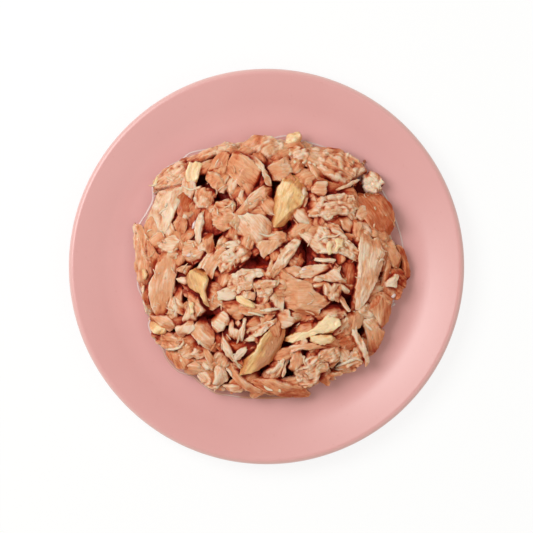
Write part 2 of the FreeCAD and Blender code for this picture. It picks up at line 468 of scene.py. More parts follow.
# The heap's surface as it builds up is a map of heights in square cells. A flake follows a share of the slope under
# it, and its level may fall short of the dome's by some slack.
CELL = 0.4
MAP_REACH = 62.0
STEEPEST = 0.9
SLOPE_FOLLOWED = 0.7
SLACK = 1.5
FLOOR_SINK = 0.6
FLOOR_CLEARANCE = 0.05

# For each kind: thickness, height of the edge as a share of it, width of the rounding inside the edge, how steep
# its facets are, ridge height, crumbling, how far its ends are torn, height of the steps where a sheet has peeled
# off, and how far it curls.
KINDS = {
    "slab": (5.4, 0.40, 0.4, 1.00, 0.09, 0.14, 0.8, 0.30, 0.7),
    "leaf": (3.8, 0.30, 0.5, 0.90, 0.20, 0.30, 1.2, 0.30, 1.0),
    "chunk": (6.4, 0.15, 1.1, 0.70, 0.24, 0.62, 1.8, 0.35, 0.7),
    "strip": (3.8, 0.20, 0.7, 0.80, 0.26, 0.38, 1.4, 0.30, 1.2),
}


class Pieces:
    """Flakes of one kind, gathered into a single mesh with what each point knows about its flake."""

    def __init__(self):
        self.points = []
        self.faces = []
        self.known = []
        self.count = 0

    def add(self, points, faces, fibre, painted_light_and_shade, tone):
        self.points.append(points)
        self.faces += [tuple(corner + self.count for corner in face) for face in faces]
        self.known.append(np.column_stack([fibre, painted_light_and_shade, np.broadcast_to(tone, len(points))]))
        self.count += len(points)

    def gathered(self, name):
        """One object from all the flakes, and their points."""
        points = np.concatenate(self.points)
        made = mesh_object(name, points, self.faces)
        marked(made, np.concatenate(self.known))
        return made, points


def edge_distance(spots, edge):
    """How far each spot is from a closed edge, and whether it lies inside it."""
    ahead = np.roll(edge, -1, axis=0)
    step = ahead - edge
    x = spots[:, :1] - edge[:, 0]
    y = spots[:, 1:] - edge[:, 1]
    along = np.clip((x * step[:, 0] + y * step[:, 1]) / (step ** 2).sum(1), 0, 1)
    near = np.hypot(x - along * step[:, 0], y - along * step[:, 1]).min(1)
    spans = (edge[:, 1] > spots[:, 1:]) != (ahead[:, 1] > spots[:, 1:])
    rise = np.where(step[:, 1] == 0, 1e-9, step[:, 1])
    crossed = spans & (x < step[:, 0] * y / rise)
    return near, crossed.sum(1) % 2 == 1


def evenly(corners, pitch):
    """Evenly spaced points round a closed line, at least a dozen."""
    loop = np.concatenate([corners, corners[:1]])
    travelled = np.concatenate([[0], np.cumsum(np.hypot(*np.diff(loop, axis=0).T))])
    wanted = np.linspace(0, travelled[-1], max(int(travelled[-1] / pitch), 12), endpoint=False)
    return np.stack([np.interp(wanted, travelled, loop[:, 0]), np.interp(wanted, travelled, loop[:, 1])], axis=1)


def outwards(edge):
    """The direction straight out of a closed edge at each of its points."""
    ahead = np.roll(edge, -1, axis=0) - np.roll(edge, 1, axis=0)
    return np.stack([ahead[:, 1], -ahead[:, 0]], axis=1) / np.hypot(*ahead.T)[:, None]


def torn_edge(corners, torn, pitch, seed):
    """A flake's edge in its own frame, with its fibres along X, frayed at the ends, and the same edge untorn."""
    following = np.roll(corners, -1, axis=0)
    if (corners[:, 0] * following[:, 1] - following[:, 0] * corners[:, 1]).sum() < 0:
        corners = corners[::-1]
    edge = evenly(corners, pitch)
    for _ in range(2):
        edge = (np.roll(edge, 1, axis=0) + 2 * edge + np.roll(edge, -1, axis=0)) / 4
    outward = outwards(edge)
    end = outward[:, 0] ** 2
    place = np.column_stack([edge, np.full(len(edge), seed * 7.3)])
    lateral = place * (0.25, 1, 1)
    side = 0.32 * lumps(place, 2.2, seed=31) + 0.2 * lumps(place, 0.9, seed=32)
    frayed = torn * (0.6 * lumps(lateral, 1.2, seed=33) + 0.4 * lumps(lateral, 0.7, seed=34))
    return edge + outward * (side * (1 - end) + frayed * end)[:, None], edge


def filled(edge, along, across):
    """Triangles over the inside of an edge, with inner points in rows, or None where the edge crosses itself."""
    low = edge.min(0)
    high = edge.max(0)
    x, y = np.meshgrid(np.arange(low[0], high[0], along), np.arange(low[1], high[1], across))
    x = x + (np.arange(len(x)) % 2)[:, None] * along / 2
    spots = np.stack([x.ravel(), y.ravel()], axis=1)
    near, inside = edge_distance(spots, edge)
    points = np.concatenate([edge, spots[inside & (near > across * 0.6)]])
    ring = list(range(len(edge)))
    made = delaunay_2d_cdt([Vector(point) for point in points], [], [ring], 1, 1e-6)
    if len(made[0]) != len(points) or any(len(old) != 1 for old in made[3]):
        return None, None
    order = [old[0] for old in made[3]]
    return points, [tuple(order[corner] for corner in face) for face in made[2]]


def facetted(top, height, edge, place, thickness, steepness, random):
    """Breaks a flake's top along planes that are steep and gentle in turn: its heights, and how far each leans."""
    facets = int(random.integers(FEWEST_FACETS, MOST_FACETS + 1))
    leaning = np.zeros(len(top))
    for i in range(facets):
        bearing = 2 * math.pi * (i + random.uniform(0, 0.8)) / facets
        way = np.array([math.cos(bearing), math.sin(bearing)])
        reach = (edge @ way).max()
        steep = i % 2 == 0
        start = reach * (random.uniform(0.4, 0.8) if steep else random.uniform(-0.2, 0.4))
        slope = steepness * (random.uniform(0.8, 1.6) if steep else random.uniform(0.1, 0.45))
        slope = min(slope, 0.8 * thickness / (reach - start))
        plane = thickness / 2 - slope * (top @ way - start) + 0.08 * lumps(place, 1.1, seed=42)
        leaning[plane < height] = slope
        height = np.minimum(height, plane)
    return height, leaning


def fibrous(place, kind, ridge, crumble, peel_height):
    """Relief along a flake's fibres: its strands, folds and pits, and the steps of the sheets peeled off it."""
    bent = place.copy()
    bent[:, 0] += 2.5 * lumps(place, 5.0, seed=53)
    bent[:, 1] += 1.6 * lumps(place, 6.0, seed=43) + 0.5 * lumps(place, 2.2, seed=52)
    strands = 1 - 2 * np.abs(lumps(bent * (0.13, 1, 1), 1.25, seed=44))
    fine = 1 - 2 * np.abs(lumps(bent * (0.16, 1, 1), 0.6, seed=45))
    peel = lumps(bent * (0.4, 1, 1), 4.0, seed=46)
    steps = np.tanh(6 * (peel - 0.12)) + np.tanh(6 * (peel + 0.35))
    drawn = (0.95 if kind == "chunk" else 0.5, 1, 1)
    folds = 1.6 * np.abs(lumps(bent * drawn, 2.5, seed=51)) + 1.5 * np.abs(lumps(bent * drawn, 1.4, seed=47))
    pits = np.minimum(lumps(bent * (0.6, 1, 1), 1.2, seed=48) + 0.3, 0)
    grooves = ridge * (strands + 0.6 * fine) + crumble * (folds - 0.9 + 0.5 * pits)
    return grooves, 0.5 * peel_height * steps


def flake_body(kind, corners, heading, seed, pitch):
    """A flake from its corners in plan: points about its middle, faces, fibre positions, painted light and shade, and
    its middle.
    """
    thickness, edge_share, round_width, steepness, ridge, crumble, torn, peel_height, curl = KINDS[kind]
    random = np.random.default_rng(seed)
    corners = np.reshape(corners, (-1, 2)).astype(float)
    middle = (corners.min(0) + corners.max(0)) / 2
    corners = middle + (corners - middle) * SPREAD
    turn = math.radians(heading)
    spin = np.array([[math.cos(turn), -math.sin(turn)], [math.sin(turn), math.cos(turn)]])
    edge, calm_edge = torn_edge((corners - middle) @ spin, torn, pitch, seed)
    top, top_faces = filled(edge, pitch * 1.35, pitch * 0.75)
    if top is None:
        edge = calm_edge
        top, top_faces = filled(edge, pitch * 1.35, pitch * 0.75)
    count = len(edge)
    half = (edge.max(0) - edge.min(0)) / 2
    thickness = min(thickness, 1.7 * half.min()) * random.uniform(0.9, 1.12)
    place = np.column_stack([top, np.full(len(top), random.uniform(-500, 500))])

    # The top: rounded down to its edge, broken into facets, and grained.
    near = edge_distance(top, edge)[0]
    near[:count] = 0
    soft = round_width * (1 + 0.35 * lumps(place, 1.7, seed=41))
    shoulder = np.sqrt(1 - (1 - np.minimum(near / soft, 1)) ** 2)
    height = thickness * (edge_share / 2 + (1 - edge_share) / 2 * shoulder)
    height, leaning = facetted(top, height, edge, place, thickness, steepness, random)
    grooves, sheets = fibrous(place, kind, ridge, crumble, peel_height)
    height += grooves + sheets
    bend = random.uniform(-1, 0.4) * curl
    twist = random.uniform(-1, 1) * 0.12 * half.min()

    def bent_by(spots):
        return bend * ((spots[:, 0] / half[0]) ** 2 - 0.4) + twist * spots[:, 0] / half[0] * spots[:, 1] / half[1]

    # The underside, and the layered side between the two.
    under, under_faces = filled(edge, pitch * 3, pitch * 3)
    under_place = np.column_stack([under, np.full(len(under), seed)])
    inset = np.minimum(edge_distance(under, edge)[0] / 1.5, 1)
    inset[:count] = 0
    floor = -thickness / 2 * (0.75 + 0.25 * inset) + 0.2 * lumps(under_place, 2.0, seed=49)
    rings = [np.column_stack([top, height + bent_by(top)])]
    for share in WALL_STEPS:
        level = height[:count] * (1 - share) + floor[:count] * share
        layer = lumps(np.column_stack([edge * 0.35, level]), 0.8, seed=seed + 50)
        shape = edge * (1 + 0.02 * math.sin(math.pi * share) - 0.13 * share ** 2)
        rings.append(np.column_stack([shape + outwards(edge) * 0.28 * layer[:, None], level + bent_by(edge)]))
    rings.append(np.column_stack([under * 0.87, floor + bent_by(under)]))
    starts = np.cumsum([0] + [len(ring) for ring in rings])
    points = np.concatenate(rings)
    faces = list(top_faces)
    for upper, lower in zip(starts, starts[1:-1]):
        for i in range(count):
            j = (i + 1) % count
            faces.append((upper + i, lower + i, lower + j, upper + j))
    faces += [tuple(starts[-2] + corner for corner in face[::-1]) for face in under_faces]
    fibre = points + (0, 0, place[0, 2])
    # Painted light and shade: a painted highlight along the top's edge and on its ridges, and painted shade in its
    # grooves, on its steep facets and all over its sides and underside.
    painted_light_and_shade = np.full(len(points), -1.2)
    painted_light_and_shade[:len(top)] = np.exp(-near / 0.45) + 0.5 * grooves - leaning
    points[:, :2] = points[:, :2] @ spin.T
    return points, faces, fibre, painted_light_and_shade, middle


def cells(points):
    """Which cell of the height map lies under each point."""
    column = ((points[:, 0] + MAP_REACH) / CELL).astype(int)
    row = ((points[:, 1] + MAP_REACH) / CELL).astype(int)
    return row * map_size + column


def settle(points, middle, lean, sink, proud):
    """Tilts a flake to the slope under it, rests it there with a share of it sunk in, and adds it to the map."""
    points = points.copy()
    points[:, :2] += middle
    under = np.unique(cells(points))
    spots = np.stack([under % map_size, under // map_size, np.ones(len(under)) / CELL], axis=1) * CELL
    slope_fit = np.linalg.lstsq(spots, heights[under], rcond=None)[0][:2]
    steep = np.hypot(*slope_fit)
    slope_fit *= min(1, STEEPEST / max(steep, 1e-6))
    slope_fit = slope_fit * SLOPE_FOLLOWED + lean
    normal = Vector((-slope_fit[0], -slope_fit[1], 1)).normalized()
    tilt = np.array(Vector((0, 0, 1)).rotation_difference(normal).to_matrix())
    points = (points - (*middle, 0)) @ tilt.T + (*middle, 0)
    where = cells(points)
    bottom = np.full(map_size ** 2, 1e9)
    np.minimum.at(bottom, where, points[:, 2])
    under = np.unique(where)
    lift = np.percentile(heights[under] - bottom[under], sink)
    room = np.percentile(well_floor + dome(points[:, 0], points[:, 1]) + proud - points[:, 2], 15)
    lift = min(max(lift, room - SLACK), room)
    lift = max(lift, well_floor - points[:, 2].min() - FLOOR_SINK)
    points[:, 2] += lift
    points[:, 2] = np.maximum(points[:, 2], well_floor + FLOOR_CLEARANCE)
    np.maximum.at(heights, where, points[:, 2])
    return points


def lay(group, flake, lean, sink, proud, tone):
    """Settles a flake on the heap and adds it to its group."""
    points, faces, fibre, painted_light_and_shade, middle = flake
    group.add(settle(points, middle, lean, sink, proud), faces, fibre, painted_light_and_shade, tone)


def random_corners(x, y, length, width, heading, random):
    """A broken flake's corners: a polygon with uneven sides."""
    sides = int(random.integers(5, 9))
    angle = 2 * math.pi * (np.arange(sides) + random.uniform(0, 1)) / sides
    angle = angle + random.uniform(-0.35, 0.35, sides)
    reach = random.uniform(0.8, 1.15, sides)
    local = np.stack([length / 2 * reach * np.cos(angle), width / 2 * reach * np.sin(angle)], axis=1)
    turn = math.radians(heading)
    spin = np.array([[math.cos(turn), math.sin(turn)], [-math.sin(turn), math.cos(turn)]])
    return local @ spin + (x, y)


# The flakes that show, from the lowest to the highest: kind, layer from 0 for deep to 2 for the top, heading of the
# fibres, tone from 0 for pale to 1 for deep, and the corners, X and Y in turn. The deep tones of the lowest layer and
# of some flakes that lie in shade are partly painted shade.
LAID = [
    ("slab", 0, 75, .9, (-24, 22, -20.5, 21, -19.5, 17, -20, 12.5, -22, 11, -23.5, 14)),
    ("slab", 0, 70, .9, (-35, 25, -31, 30, -27.5, 28, -28, 20, -29.5, 14, -33, 19)),
    ("strip", 0, 80, .7, (-33.8, -6, -31, -6.5, -30.6, -10, -31.2, -13.5, -32.2, -16, -34, -14, -34, -9)),
    ("leaf", 0, 0, .8, (-10.5, -4.8, -6, -4.6, -4.8, -7, -7, -9, -10.5, -8.5)),
    ("slab", 0, 80, .8, (26.5, 0, 29, 2, 32, 1.5, 33.5, -2, 33, -8, 30, -9, 27, -6, 26, -3)),
    ("strip", 0, -10, .9, (-32, -26.5, -28, -26.3, -24.5, -28.5, -24.5, -30.5, -31, -31, -34, -29.5)),
    ("slab", 0, 0, .9, (-15, -27, -11, -27.5, -3, -27.5, -3, -30, -7, -32.5, -12, -34, -15, -30)),
    ("slab", 0, 25, .7, (8, -26, 11, -21.5, 15, -20.8, 20, -21, 18, -24, 12, -26.5)),
    ("chunk", 0, 20, .9, (24, -23, 28, -21.5, 32, -23, 35, -28, 33, -31.5, 27, -30, 24, -27)),
    ("strip", 0, 80, .7, (31.8, 17.5, 34, 16.5, 36.8, 13.5, 36, 9.5, 34.5, 7, 32.5, 8.5, 32, 13)),
    ("leaf", 0, 70, .8, (43, -6, 44, 0, 45.5, 4, 47.5, 1, 47.5, -4, 45, -8, 42, -10, 41, -8)),
    ("slab", 0, 10, .7, (15.5, 33, 20, 33, 24, 31, 30, 30, 33, 29, 30, 26.5, 24, 27, 18, 27, 14.5, 29)),
    ("leaf", 0, 70, .8, (8.5, .5, 11, 3.5, 14, 7, 15, 3, 13.5, 0, 10.5, -1.5)),
    ("strip", 0, -60, .8, (-19.5, -24.5, -17.5, -24.5, -15, -27, -14.5, -32, -16, -33, -19, -29)),
    ("chunk", 1, 20, .3, (-30, 40.5, -25, 42.5, -20, 44.8, -15, 46.8, -12, 45.5, -15, 42.5, -19.5, 41.5, -24, 39,
     -28.5, 39)),
    ("chunk", 1, 35, .2, (-42.3, 28, -41.8, 32, -38.5, 36, -34, 38.3, -29.5, 40.8, -29, 35, -31, 30.5, -38, 28.3)),
    ("chunk", 1, 30, .25, (-6.5, 45, -5, 47.2, -.5, 49, 2, 48.6, 6.5, 45, 6, 42, 3, 39.5, 0, 39, -3, 41.5,
     -5.5, 43.5)),
    ("chunk", 1, 20, .3, (8.2, 42.8, 9.5, 44.8, 12, 44.6, 15.5, 43.5, 15.5, 40, 14, 37.8, 11.5, 38, 10, 40)),
    ("chunk", 1, -40, .1, (36.5, 34, 39.5, 35.5, 42, 35, 44, 32.5, 43.5, 29.5, 41, 27.5, 37.5, 28, 36, 30)),
    ("strip", 1, 22, .4, (25.5, 28.3, 30, 30.5, 33, 32.8, 35.6, 33.3, 34, 31.7, 31, 30, 27.5, 28.5)),
    ("slab", 1, 10, .4, (.2, 36.5, 2.8, 39, 7, 40.5, 9.5, 38.5, 9.5, 35.5, 6, 31.3, 4, 31.8, 2, 33.8)),
    ("chunk", 1, 20, .6, (-22.5, 35, -19, 35.5, -15.5, 33, -14, 30, -15, 27.5, -18, 28.5, -20, 30.5, -21.5, 33)),
    ("chunk", 1, 70, .35, (-26, 28.8, -22, 29.5, -20.2, 27, -19.6, 23.5, -21.5, 20.8, -25.5, 20.5, -27, 24)),
    ("slab", 1, 0, .45, (16.5, 28, 18, 31.3, 19.5, 31.8, 22.8, 31.6, 22.5, 29.5, 22, 26.2, 19.5, 26)),
    ("leaf", 1, 70, .8, (-34.8, 16.2, -32.7, 19.3, -30, 18.2, -29.6, 15.2, -31, 11, -33.8, 13.5)),
    ("strip", 1, 75, .3, (-11, 20, -11, 24.5, -9.8, 28, -7.4, 30.8, -8.5, 27, -8.8, 23)),
    ("slab", 1, 60, .7, (-22, 35.3, -19.5, 41, -17, 42.8, -13.5, 42.8, -14.5, 37, -17, 35.2)),
    ("strip", 1, 94, .35, (-50.6, 15.8, -48.5, 15, -46.5, 12.5, -45, 9.5, -44.3, 6, -44.2, 3, -42.5, .5, -41.6, -2.5,
     -43.5, -5.2, -45.5, -7, -46.3, -12, -47.2, -9, -47.8, -5, -49, 0, -49.8, 6, -50.2, 11)),
    ("strip", 1, 100, .5, (-46.8, -6.5, -45.5, -5.5, -44, -5.5, -43.6, -10, -42.8, -14, -41.3, -16.5, -42.5, -18,
     -45, -15.5, -46.6, -11)),
    ("leaf", 1, -70, .8, (-44.8, 10, -42.5, 7.5, -41, 5, -38.8, 4, -40.5, 1.5, -42, -.5, -44.2, 3, -44.6, 7)),
    ("slab", 1, 0, .15, (-41, 8.5, -39.5, 10, -34, 11.8, -30.7, 10, -31, 5.4, -36.8, 4.4)),
    ("leaf", 1, 20, .35, (-31.5, 8.5, -29.5, 10, -26, 9, -23.8, 10, -23, 7, -23.2, 4.5, -25, 2, -27, .7, -29.5, 1,
     -31.3, 3.5)),
    ("leaf", 1, 10, .6, (-33.3, -1, -31.5, .3, -28.2, .3, -28.2, -2.2, -30, -3.4, -32.2, -2.2)),
    ("strip", 1, 0, .1, (-34.3, -4.3, -31, -4, -28.8, -3.8, -28.6, -6, -30.5, -7, -33, -5.6)),
    ("slab", 1, 85, .8, (-24, 10, -22, 12, -20, 11.7, -19.8, 8, -19.3, 5.5, -21.3, 4, -23, 6)),
    ("leaf", 1, 60, .35, (-26, -.5, -24, 2, -22, 4, -20, 5.8, -18.5, 4, -17.5, 2.5, -18.5, 0, -19.5, -1.5, -19.8, -4,
     -21, -5.2, -22, -3, -24, -1)),
    ("leaf", 1, 55, .4, (-19, 6, -17, 11, -15.5, 12, -13.5, 11, -14.5, 8.5, -16, 6)),
    ("slab", 1, -35, .3, (-24.5, -9.5, -22, -8, -21, -5.8, -18.5, -6, -16.5, -7.8, -14.5, -9.5, -15, -12, -17, -14.3,
     -20, -16, -22.7, -15.2, -24, -12.5)),
    ("chunk", 1, -50, .45, (-29, -8.5, -26.5, -9.8, -24.8, -10.5, -23.8, -13.5, -21.8, -16, -23.5, -18, -25.5, -19.8,
     -26.8, -18, -27.5, -14.5, -29.2, -12)),
    ("slab", 1, 75, .1, (-29, -12.8, -27.5, -14, -26.8, -17.5, -26, -20, -28, -23, -30.5, -22, -31.5, -19.5,
     -30, -16.5)),
    ("strip", 1, 75, .35, (-36, -11.8, -34, -11, -33.4, -13, -32.6, -15.5, -33.2, -20, -34.3, -21.5, -36.6, -19.5,
     -36.6, -15.5)),
    ("chunk", 1, -3, .45, (-43.2, -24.3, -39, -25, -35.5, -23.8, -33.5, -24.8, -31.8, -26, -31, -27.5, -31.5, -29.2,
     -33, -30.6, -36, -31.2, -38.5, -30.2, -41.2, -28.6, -41.6, -26.5)),
    ("chunk", 1, -62, .6, (-38, -31.5, -35, -31, -32, -31.5, -29.5, -33, -27, -33.5, -25.3, -35.5, -25.8, -38,
     -30, -38.8, -33.5, -37.6, -36, -35, -37.7, -33)),
    ("chunk", 1, 10, .5, (-29, -33, -27.2, -30.5, -24.5, -29.8, -23.3, -31, -22.8, -33.3, -26, -34.8)),
    ("strip", 1, -60, .7, (-23.8, -29.8, -21, -31.5, -19.3, -35, -19.2, -39.5, -20.5, -40.5, -21.8, -37, -23.5, -33)),
    ("leaf", 1, -60, .05, (-25, -35, -22.5, -35.5, -20.8, -38, -22.3, -39.4, -24, -37.8)),
    ("chunk", 1, -35, .4, (-26.2, -39.5, -23, -38.8, -20, -40, -18.5, -41, -18, -44, -15.5, -46.5, -20, -45.8,
     -23.8, -43.6, -25.8, -41.3)),
    ("leaf", 1, -65, .05, (-20, -36.3, -17.5, -35.8, -15.8, -38.5, -14.8, -41, -15.3, -43.8, -18, -45, -20.3, -44,
     -20, -41)),
    ("leaf", 1, -45, .6, (-16.5, -34.5, -13, -35.5, -9.5, -40, -7.5, -42.5, -4.5, -44.8, -1.5, -47, -4, -48, -9, -45.5,
     -12, -41.5, -15.5, -38)),
    ("leaf", 1, 0, .2, (-16, -45, -13, -43.8, -11, -44.3, -8.6, -45, -9.8, -47.2, -13, -47.3, -15.5, -46.5)),
    ("strip", 1, -55, .5, (-12.8, -34.5, -9.5, -34, -8.5, -37, -9, -39, -10.5, -38)),
    ("strip", 1, 15, .02, (-8.7, -27.7, -6, -26, -3, -25.8, -2.8, -27.5, -6, -28.3)),
    ("chunk", 1, 35, .25, (-8.3, -24, -6, -22.8, -4, -22, -1.5, -20.8, 1, -20, 3.5, -19.3, 4.5, -20.2, 3, -21.7,
     0, -23.5, -2, -25.6, -5, -26, -8, -25.2)),
    ("leaf", 1, 60, .3, (-11.6, -20, -9.7, -19.7, -9.2, -21.5, -10.3, -22.8, -11.4, -22)),
    ("chunk", 1, -8, .5, (-18, -12.8, -13, -12.6, -9, -12.2, -3, -14, 2, -13, 5.5, -14.8, 5, -17, -1, -18, -6, -18.3,
     -10, -17.5, -13, -18, -15.5, -15)),
    ("chunk", 1, 15, .3, (-16.5, -4.5, -13, -3, -11, -2.3, -9, -.8, -6.5, -1.3, -3, -1, .3, -1.5, .8, -3, -2, -4,
     -4.5, -4.8, -4.8, -7, -5.3, -8.7, -8, -9.2, -10.5, -10.2, -12.5, -8.7, -14.7, -8, -16.2, -6)),
    ("chunk", 1, 20, .4, (-5.3, -5, -2, -4.8, .5, -4.6, 3, -5.3, 3, -7, 1.8, -9, .6, -11.3, -1, -11.2, -3, -10.2,
     -4.7, -8.3)),
    ("leaf", 1, 60, .4, (-10, -9, -5.5, -9, -4.3, -10.7, -4.3, -13, -6.5, -12.3, -9, -12)),
    ("slab", 1, 0, .0, (-18.5, -9.5, -16, -8.2, -13.5, -8, -10.8, -9.3, -11, -10.3, -12.7, -12.3, -15, -12.5,
     -18, -12.3)),
    ("leaf", 1, -20, .3, (5, -16.3, 8.3, -15.8, 9, -18.5, 11.5, -19.2, 9, -22, 6, -23, 4, -19.5)),
    ("slab", 1, 5, .25, (10.8, -2.8, 12.5, -1, 15, 0, 20, 1.2, 25.3, .6, 25.3, -1.2, 22, -2.6, 17.5, -4.6, 13, -4.1)),
    ("chunk", 1, 30, .35, (18, -3.5, 22, -2.5, 25, -1, 24, -5, 21, -5, 19, -7, 17, -6)),
    ("chunk", 1, -80, .4, (20.5, -6, 24, -5.5, 27, -6, 27.2, -9, 26.7, -13.6, 25, -12, 23, -12.2, 20.3, -9)),
    ("strip", 1, -60, .3, (27.5, -6, 29, -7, 31.2, -9, 30.4, -10.2, 28.8, -9.8, 27.8, -7.8)),
    ("strip", 1, -60, .4, (27.5, -11, 29, -12, 31.5, -16.5, 30.5, -17.2, 28.5, -15, 27.3, -13)),
    ("slab", 1, -40, .35, (28, 9, 30.5, 10, 33.8, 6.5, 34.8, 1.8, 30, 3.8, 27, 4.8)),
    ("slab", 1, -80, .65, (37, -15.5, 39.5, -11.5, 40, -8.5, 43, -10, 46, -10, 46.8, -12, 46.5, -16, 46, -20, 45, -24,
     42.5, -22.5, 41, -20, 38.5, -16.5)),
    ("slab", 1, -75, .6, (35.8, -15.5, 38.5, -16.5, 40.3, -19.5, 41.5, -22.5, 44.3, -24.3, 43, -28, 41.3, -32,
     40, -35.3, 38.8, -34, 37.7, -29, 37.5, -26, 36.3, -22, 35.2, -19)),
    ("chunk", 1, 32, .4, (25.8, -38, 27.3, -35.5, 28, -33, 30, -31.3, 33, -30.8, 35.5, -32, 37, -33.8, 36, -36,
     33.5, -38.2, 31, -40, 28, -40.5)),
    ("chunk", 1, 20, .4, (18.5, -32, 21, -30.5, 24, -29.8, 27.2, -29.8, 27, -33, 25.8, -35, 23.5, -35.6, 21, -35.5,
     18.8, -35)),
    ("chunk", 1, 10, .5, (17.5, -36.5, 21, -35.3, 23.6, -36.5, 23.3, -38.5, 21.5, -39.8, 18, -40)),
    ("leaf", 1, -55, .6, (22.5, -39.5, 26, -39.8, 29, -40.5, 25, -41.8, 23.6, -42, 24.2, -43.5, 23.7, -45, 22.5, -45,
     20.3, -42.8, 19.5, -40.5)),
    ("strip", 1, 8, .6, (5.3, -33, 7.5, -30.8, 11, -29.3, 15, -28.6, 19.5, -29, 22, -30.5, 16, -31.3, 12, -31.3,
     9, -33, 6, -34.5)),
    ("leaf", 1, 75, .45, (10.5, -31.8, 12.3, -32.3, 14.5, -33.3, 13, -36, 11, -38, 9.6, -40.3, 8.4, -38, 8.9, -34.5)),
    ("leaf", 1, 60, .15, (-1, -40, .3, -38.3, 2.5, -37, 4.5, -34.5, 6.2, -34.3, 6.5, -37, 5.7, -41.2, 3, -40.8,
     .2, -40.8)),
    ("strip", 1, 75, .3, (5.8, -41.3, 6.3, -37, 7.5, -33.3, 8, -34, 7.2, -38, 7.5, -40, 6.5, -41.5)),
    ("leaf", 1, -62, .55, (44.3, 10.5, 45.6, 11.8, 47, 9, 48.6, 6, 50.6, 2.5, 51.2, -.5, 49, -1.2, 46.5, 0, 45, 2,
     44.2, 5.5)),
    ("slab", 1, -75, .9, (48.3, 8, 50.5, 7.6, 51.8, 6, 53, 2, 54.3, -1.5, 54.2, -4.3, 53.3, -6.2, 51, -7.5, 49.8, -5,
     51, -2, 50.8, 1.5, 49.5, 4.5)),
    ("chunk", 1, -30, .9, (46.5, -.5, 50, -.8, 52, -3, 53.3, -5.5, 51, -7.5, 50, -9.5, 49.3, -11.5, 47.5, -12,
     46.8, -9.8, 44.5, -8.5, 44, -6)),
    ("leaf", 2, 40, .0, (44.3, -6, 46, -4.4, 48.7, -2.9, 49.4, -4, 49, -6, 49.2, -8.1, 47.5, -7.8, 45.5, -7.3)),
    ("chunk", 2, -10, .55, (-20.3, 18.5, -18.5, 23.8, -14.5, 24.8, -11.3, 23.5, -11, 19, -12.5, 15, -15.8, 12.8,
     -19, 14.8)),
    ("slab", 1, 60, .45, (-3.8, 8.3, -2.3, 6, -1.8, 4, -.5, 3.5, .8, 5, 3, 6, 4.8, 8, 6.8, 12, 4.5, 10.6, 0, 10,
     -2, 9.8)),
    ("slab", 2, -50, .25, (-11.6, 15.5, -10.8, 18.3, -7, 19.5, -2, 19, 1, 17, 3.2, 14.8, 5.2, 13, 7, 12.3, 5.8, 10.6,
     2, 10, -3, 9, -5, 8.4, -8, 9.6, -10.2, 11, -11.2, 13)),
    ("leaf", 1, 15, .1, (-18.5, 6.3, -16, 8.3, -14.2, 9.4, -11, 9.6, -9, 8.5, -11, 7, -14, 6.8)),
    ("chunk", 2, 42, .2, (-18.5, 2.5, -17, 5, -14, 7, -13, 9.3, -10, 9.8, -7.5, 9.3, -6.5, 7, -5.8, 4.5, -6.5, 3,
     -8.5, 1, -9.7, -.7, -11, 0, -13.5, -1.5, -15.5, -3, -17, -1.5, -19, 0)),
    ("leaf", 2, 38, .4, (-12.7, 18.5, -9, 23, -6, 27, -1, 30.2, 1.5, 29.5, 1.8, 27, -.5, 24.2, -5, 21, -10, 18.6)),
    ("strip", 2, 85, .1, (-25.8, 7.8, -26.5, 14.5, -25, 19.3, -23.4, 21.5, -23.3, 15.5, -24.4, 9.2)),
    ("strip", 2, -50, .3, (-9, 42.3, -5, 41.5, -1, 38, 1.5, 33, 1.6, 30.3, -.3, 30.8, -1.5, 35, -5, 39.3)),
    ("slab", 2, 65, .0, (-40, 27.5, -35, 29.5, -30.5, 28.3, -32.7, 22.5, -35, 15.5, -38.5, 11.5, -44, 11, -46.5, 17,
     -45, 21.5)),
    ("slab", 2, -40, .55, (-15, 36.5, -13, 41, -11.3, 43.9, -9.5, 42, -4.5, 38.8, -1.3, 35, -1.8, 32.5, -4, 29.8,
     -6.5, 28.5, -9.3, 29.8, -12, 32.5, -14.8, 35.5)),
    ("chunk", 2, -22, .35, (15, 45.5, 20.5, 46.8, 25, 44.8, 30, 42.3, 35.5, 39, 37.2, 37, 33.5, 33.8, 28, 30.3,
     24, 31.3, 20, 34, 16, 37)),
    ("chunk", 2, 8, .3, (14, 22.5, 17, 25.4, 21, 25.8, 26, 26.5, 28.5, 27.2, 32.5, 26, 33.8, 23.5, 33, 20.6,
     28.5, 18.9, 24.5, 18.6, 22.9, 16.7, 20, 18.2, 15.7, 18.5)),
    ("chunk", 2, -30, .25, (10, 17.5, 16, 17.5, 22, 16.5, 26.5, 15.2, 30, 10, 33.6, 6.4, 35, 1.7, 27, 4.8, 19, 4.8,
     14.5, 9.8, 11, 12)),
    ("strip", 2, 0, .0, (17.8, 3.4, 22, 3.3, 25.8, 2.6, 25, 1.5, 20, 1.6, 17.8, 2.2)),
    ("slab", 2, -60, .95, (33.7, 25, 35.5, 27.3, 40.5, 27, 43, 27.3, 47, 23.5, 48, 20, 47.5, 15, 46, 11.5, 42, 11.3,
     38, 15, 34, 19, 34.2, 22)),
    ("leaf", 2, -35, .2, (21.5, -3.2, 24.8, -1, 25.5, .3, 26.2, -1, 27.8, .2, 27, -2.5, 28, -4.3, 30, -5.8, 29.6, -7,
     27, -5.7, 24, -5.7, 21, -5)),
    ("slab", 2, 0, .45, (.8, -11.3, 2.5, -7.8, 4, -5.3, 8, -2.8, 12.3, -4.9, 16.3, -6, 17.8, -8.8, 21, -11,
     24.3, -12.6, 20, -15, 18.8, -18, 12, -17, 7, -14.8, 3.5, -13)),
    ("chunk", 2, 48, .2, (1.5, -2, 4.2, 4.4, 8.2, 8.7, 13.3, 13, 14.3, 12.3, 12.3, 8, 9.9, 3.7, 7, .2, 4.5, -2.5,
     2.5, -4.5)),
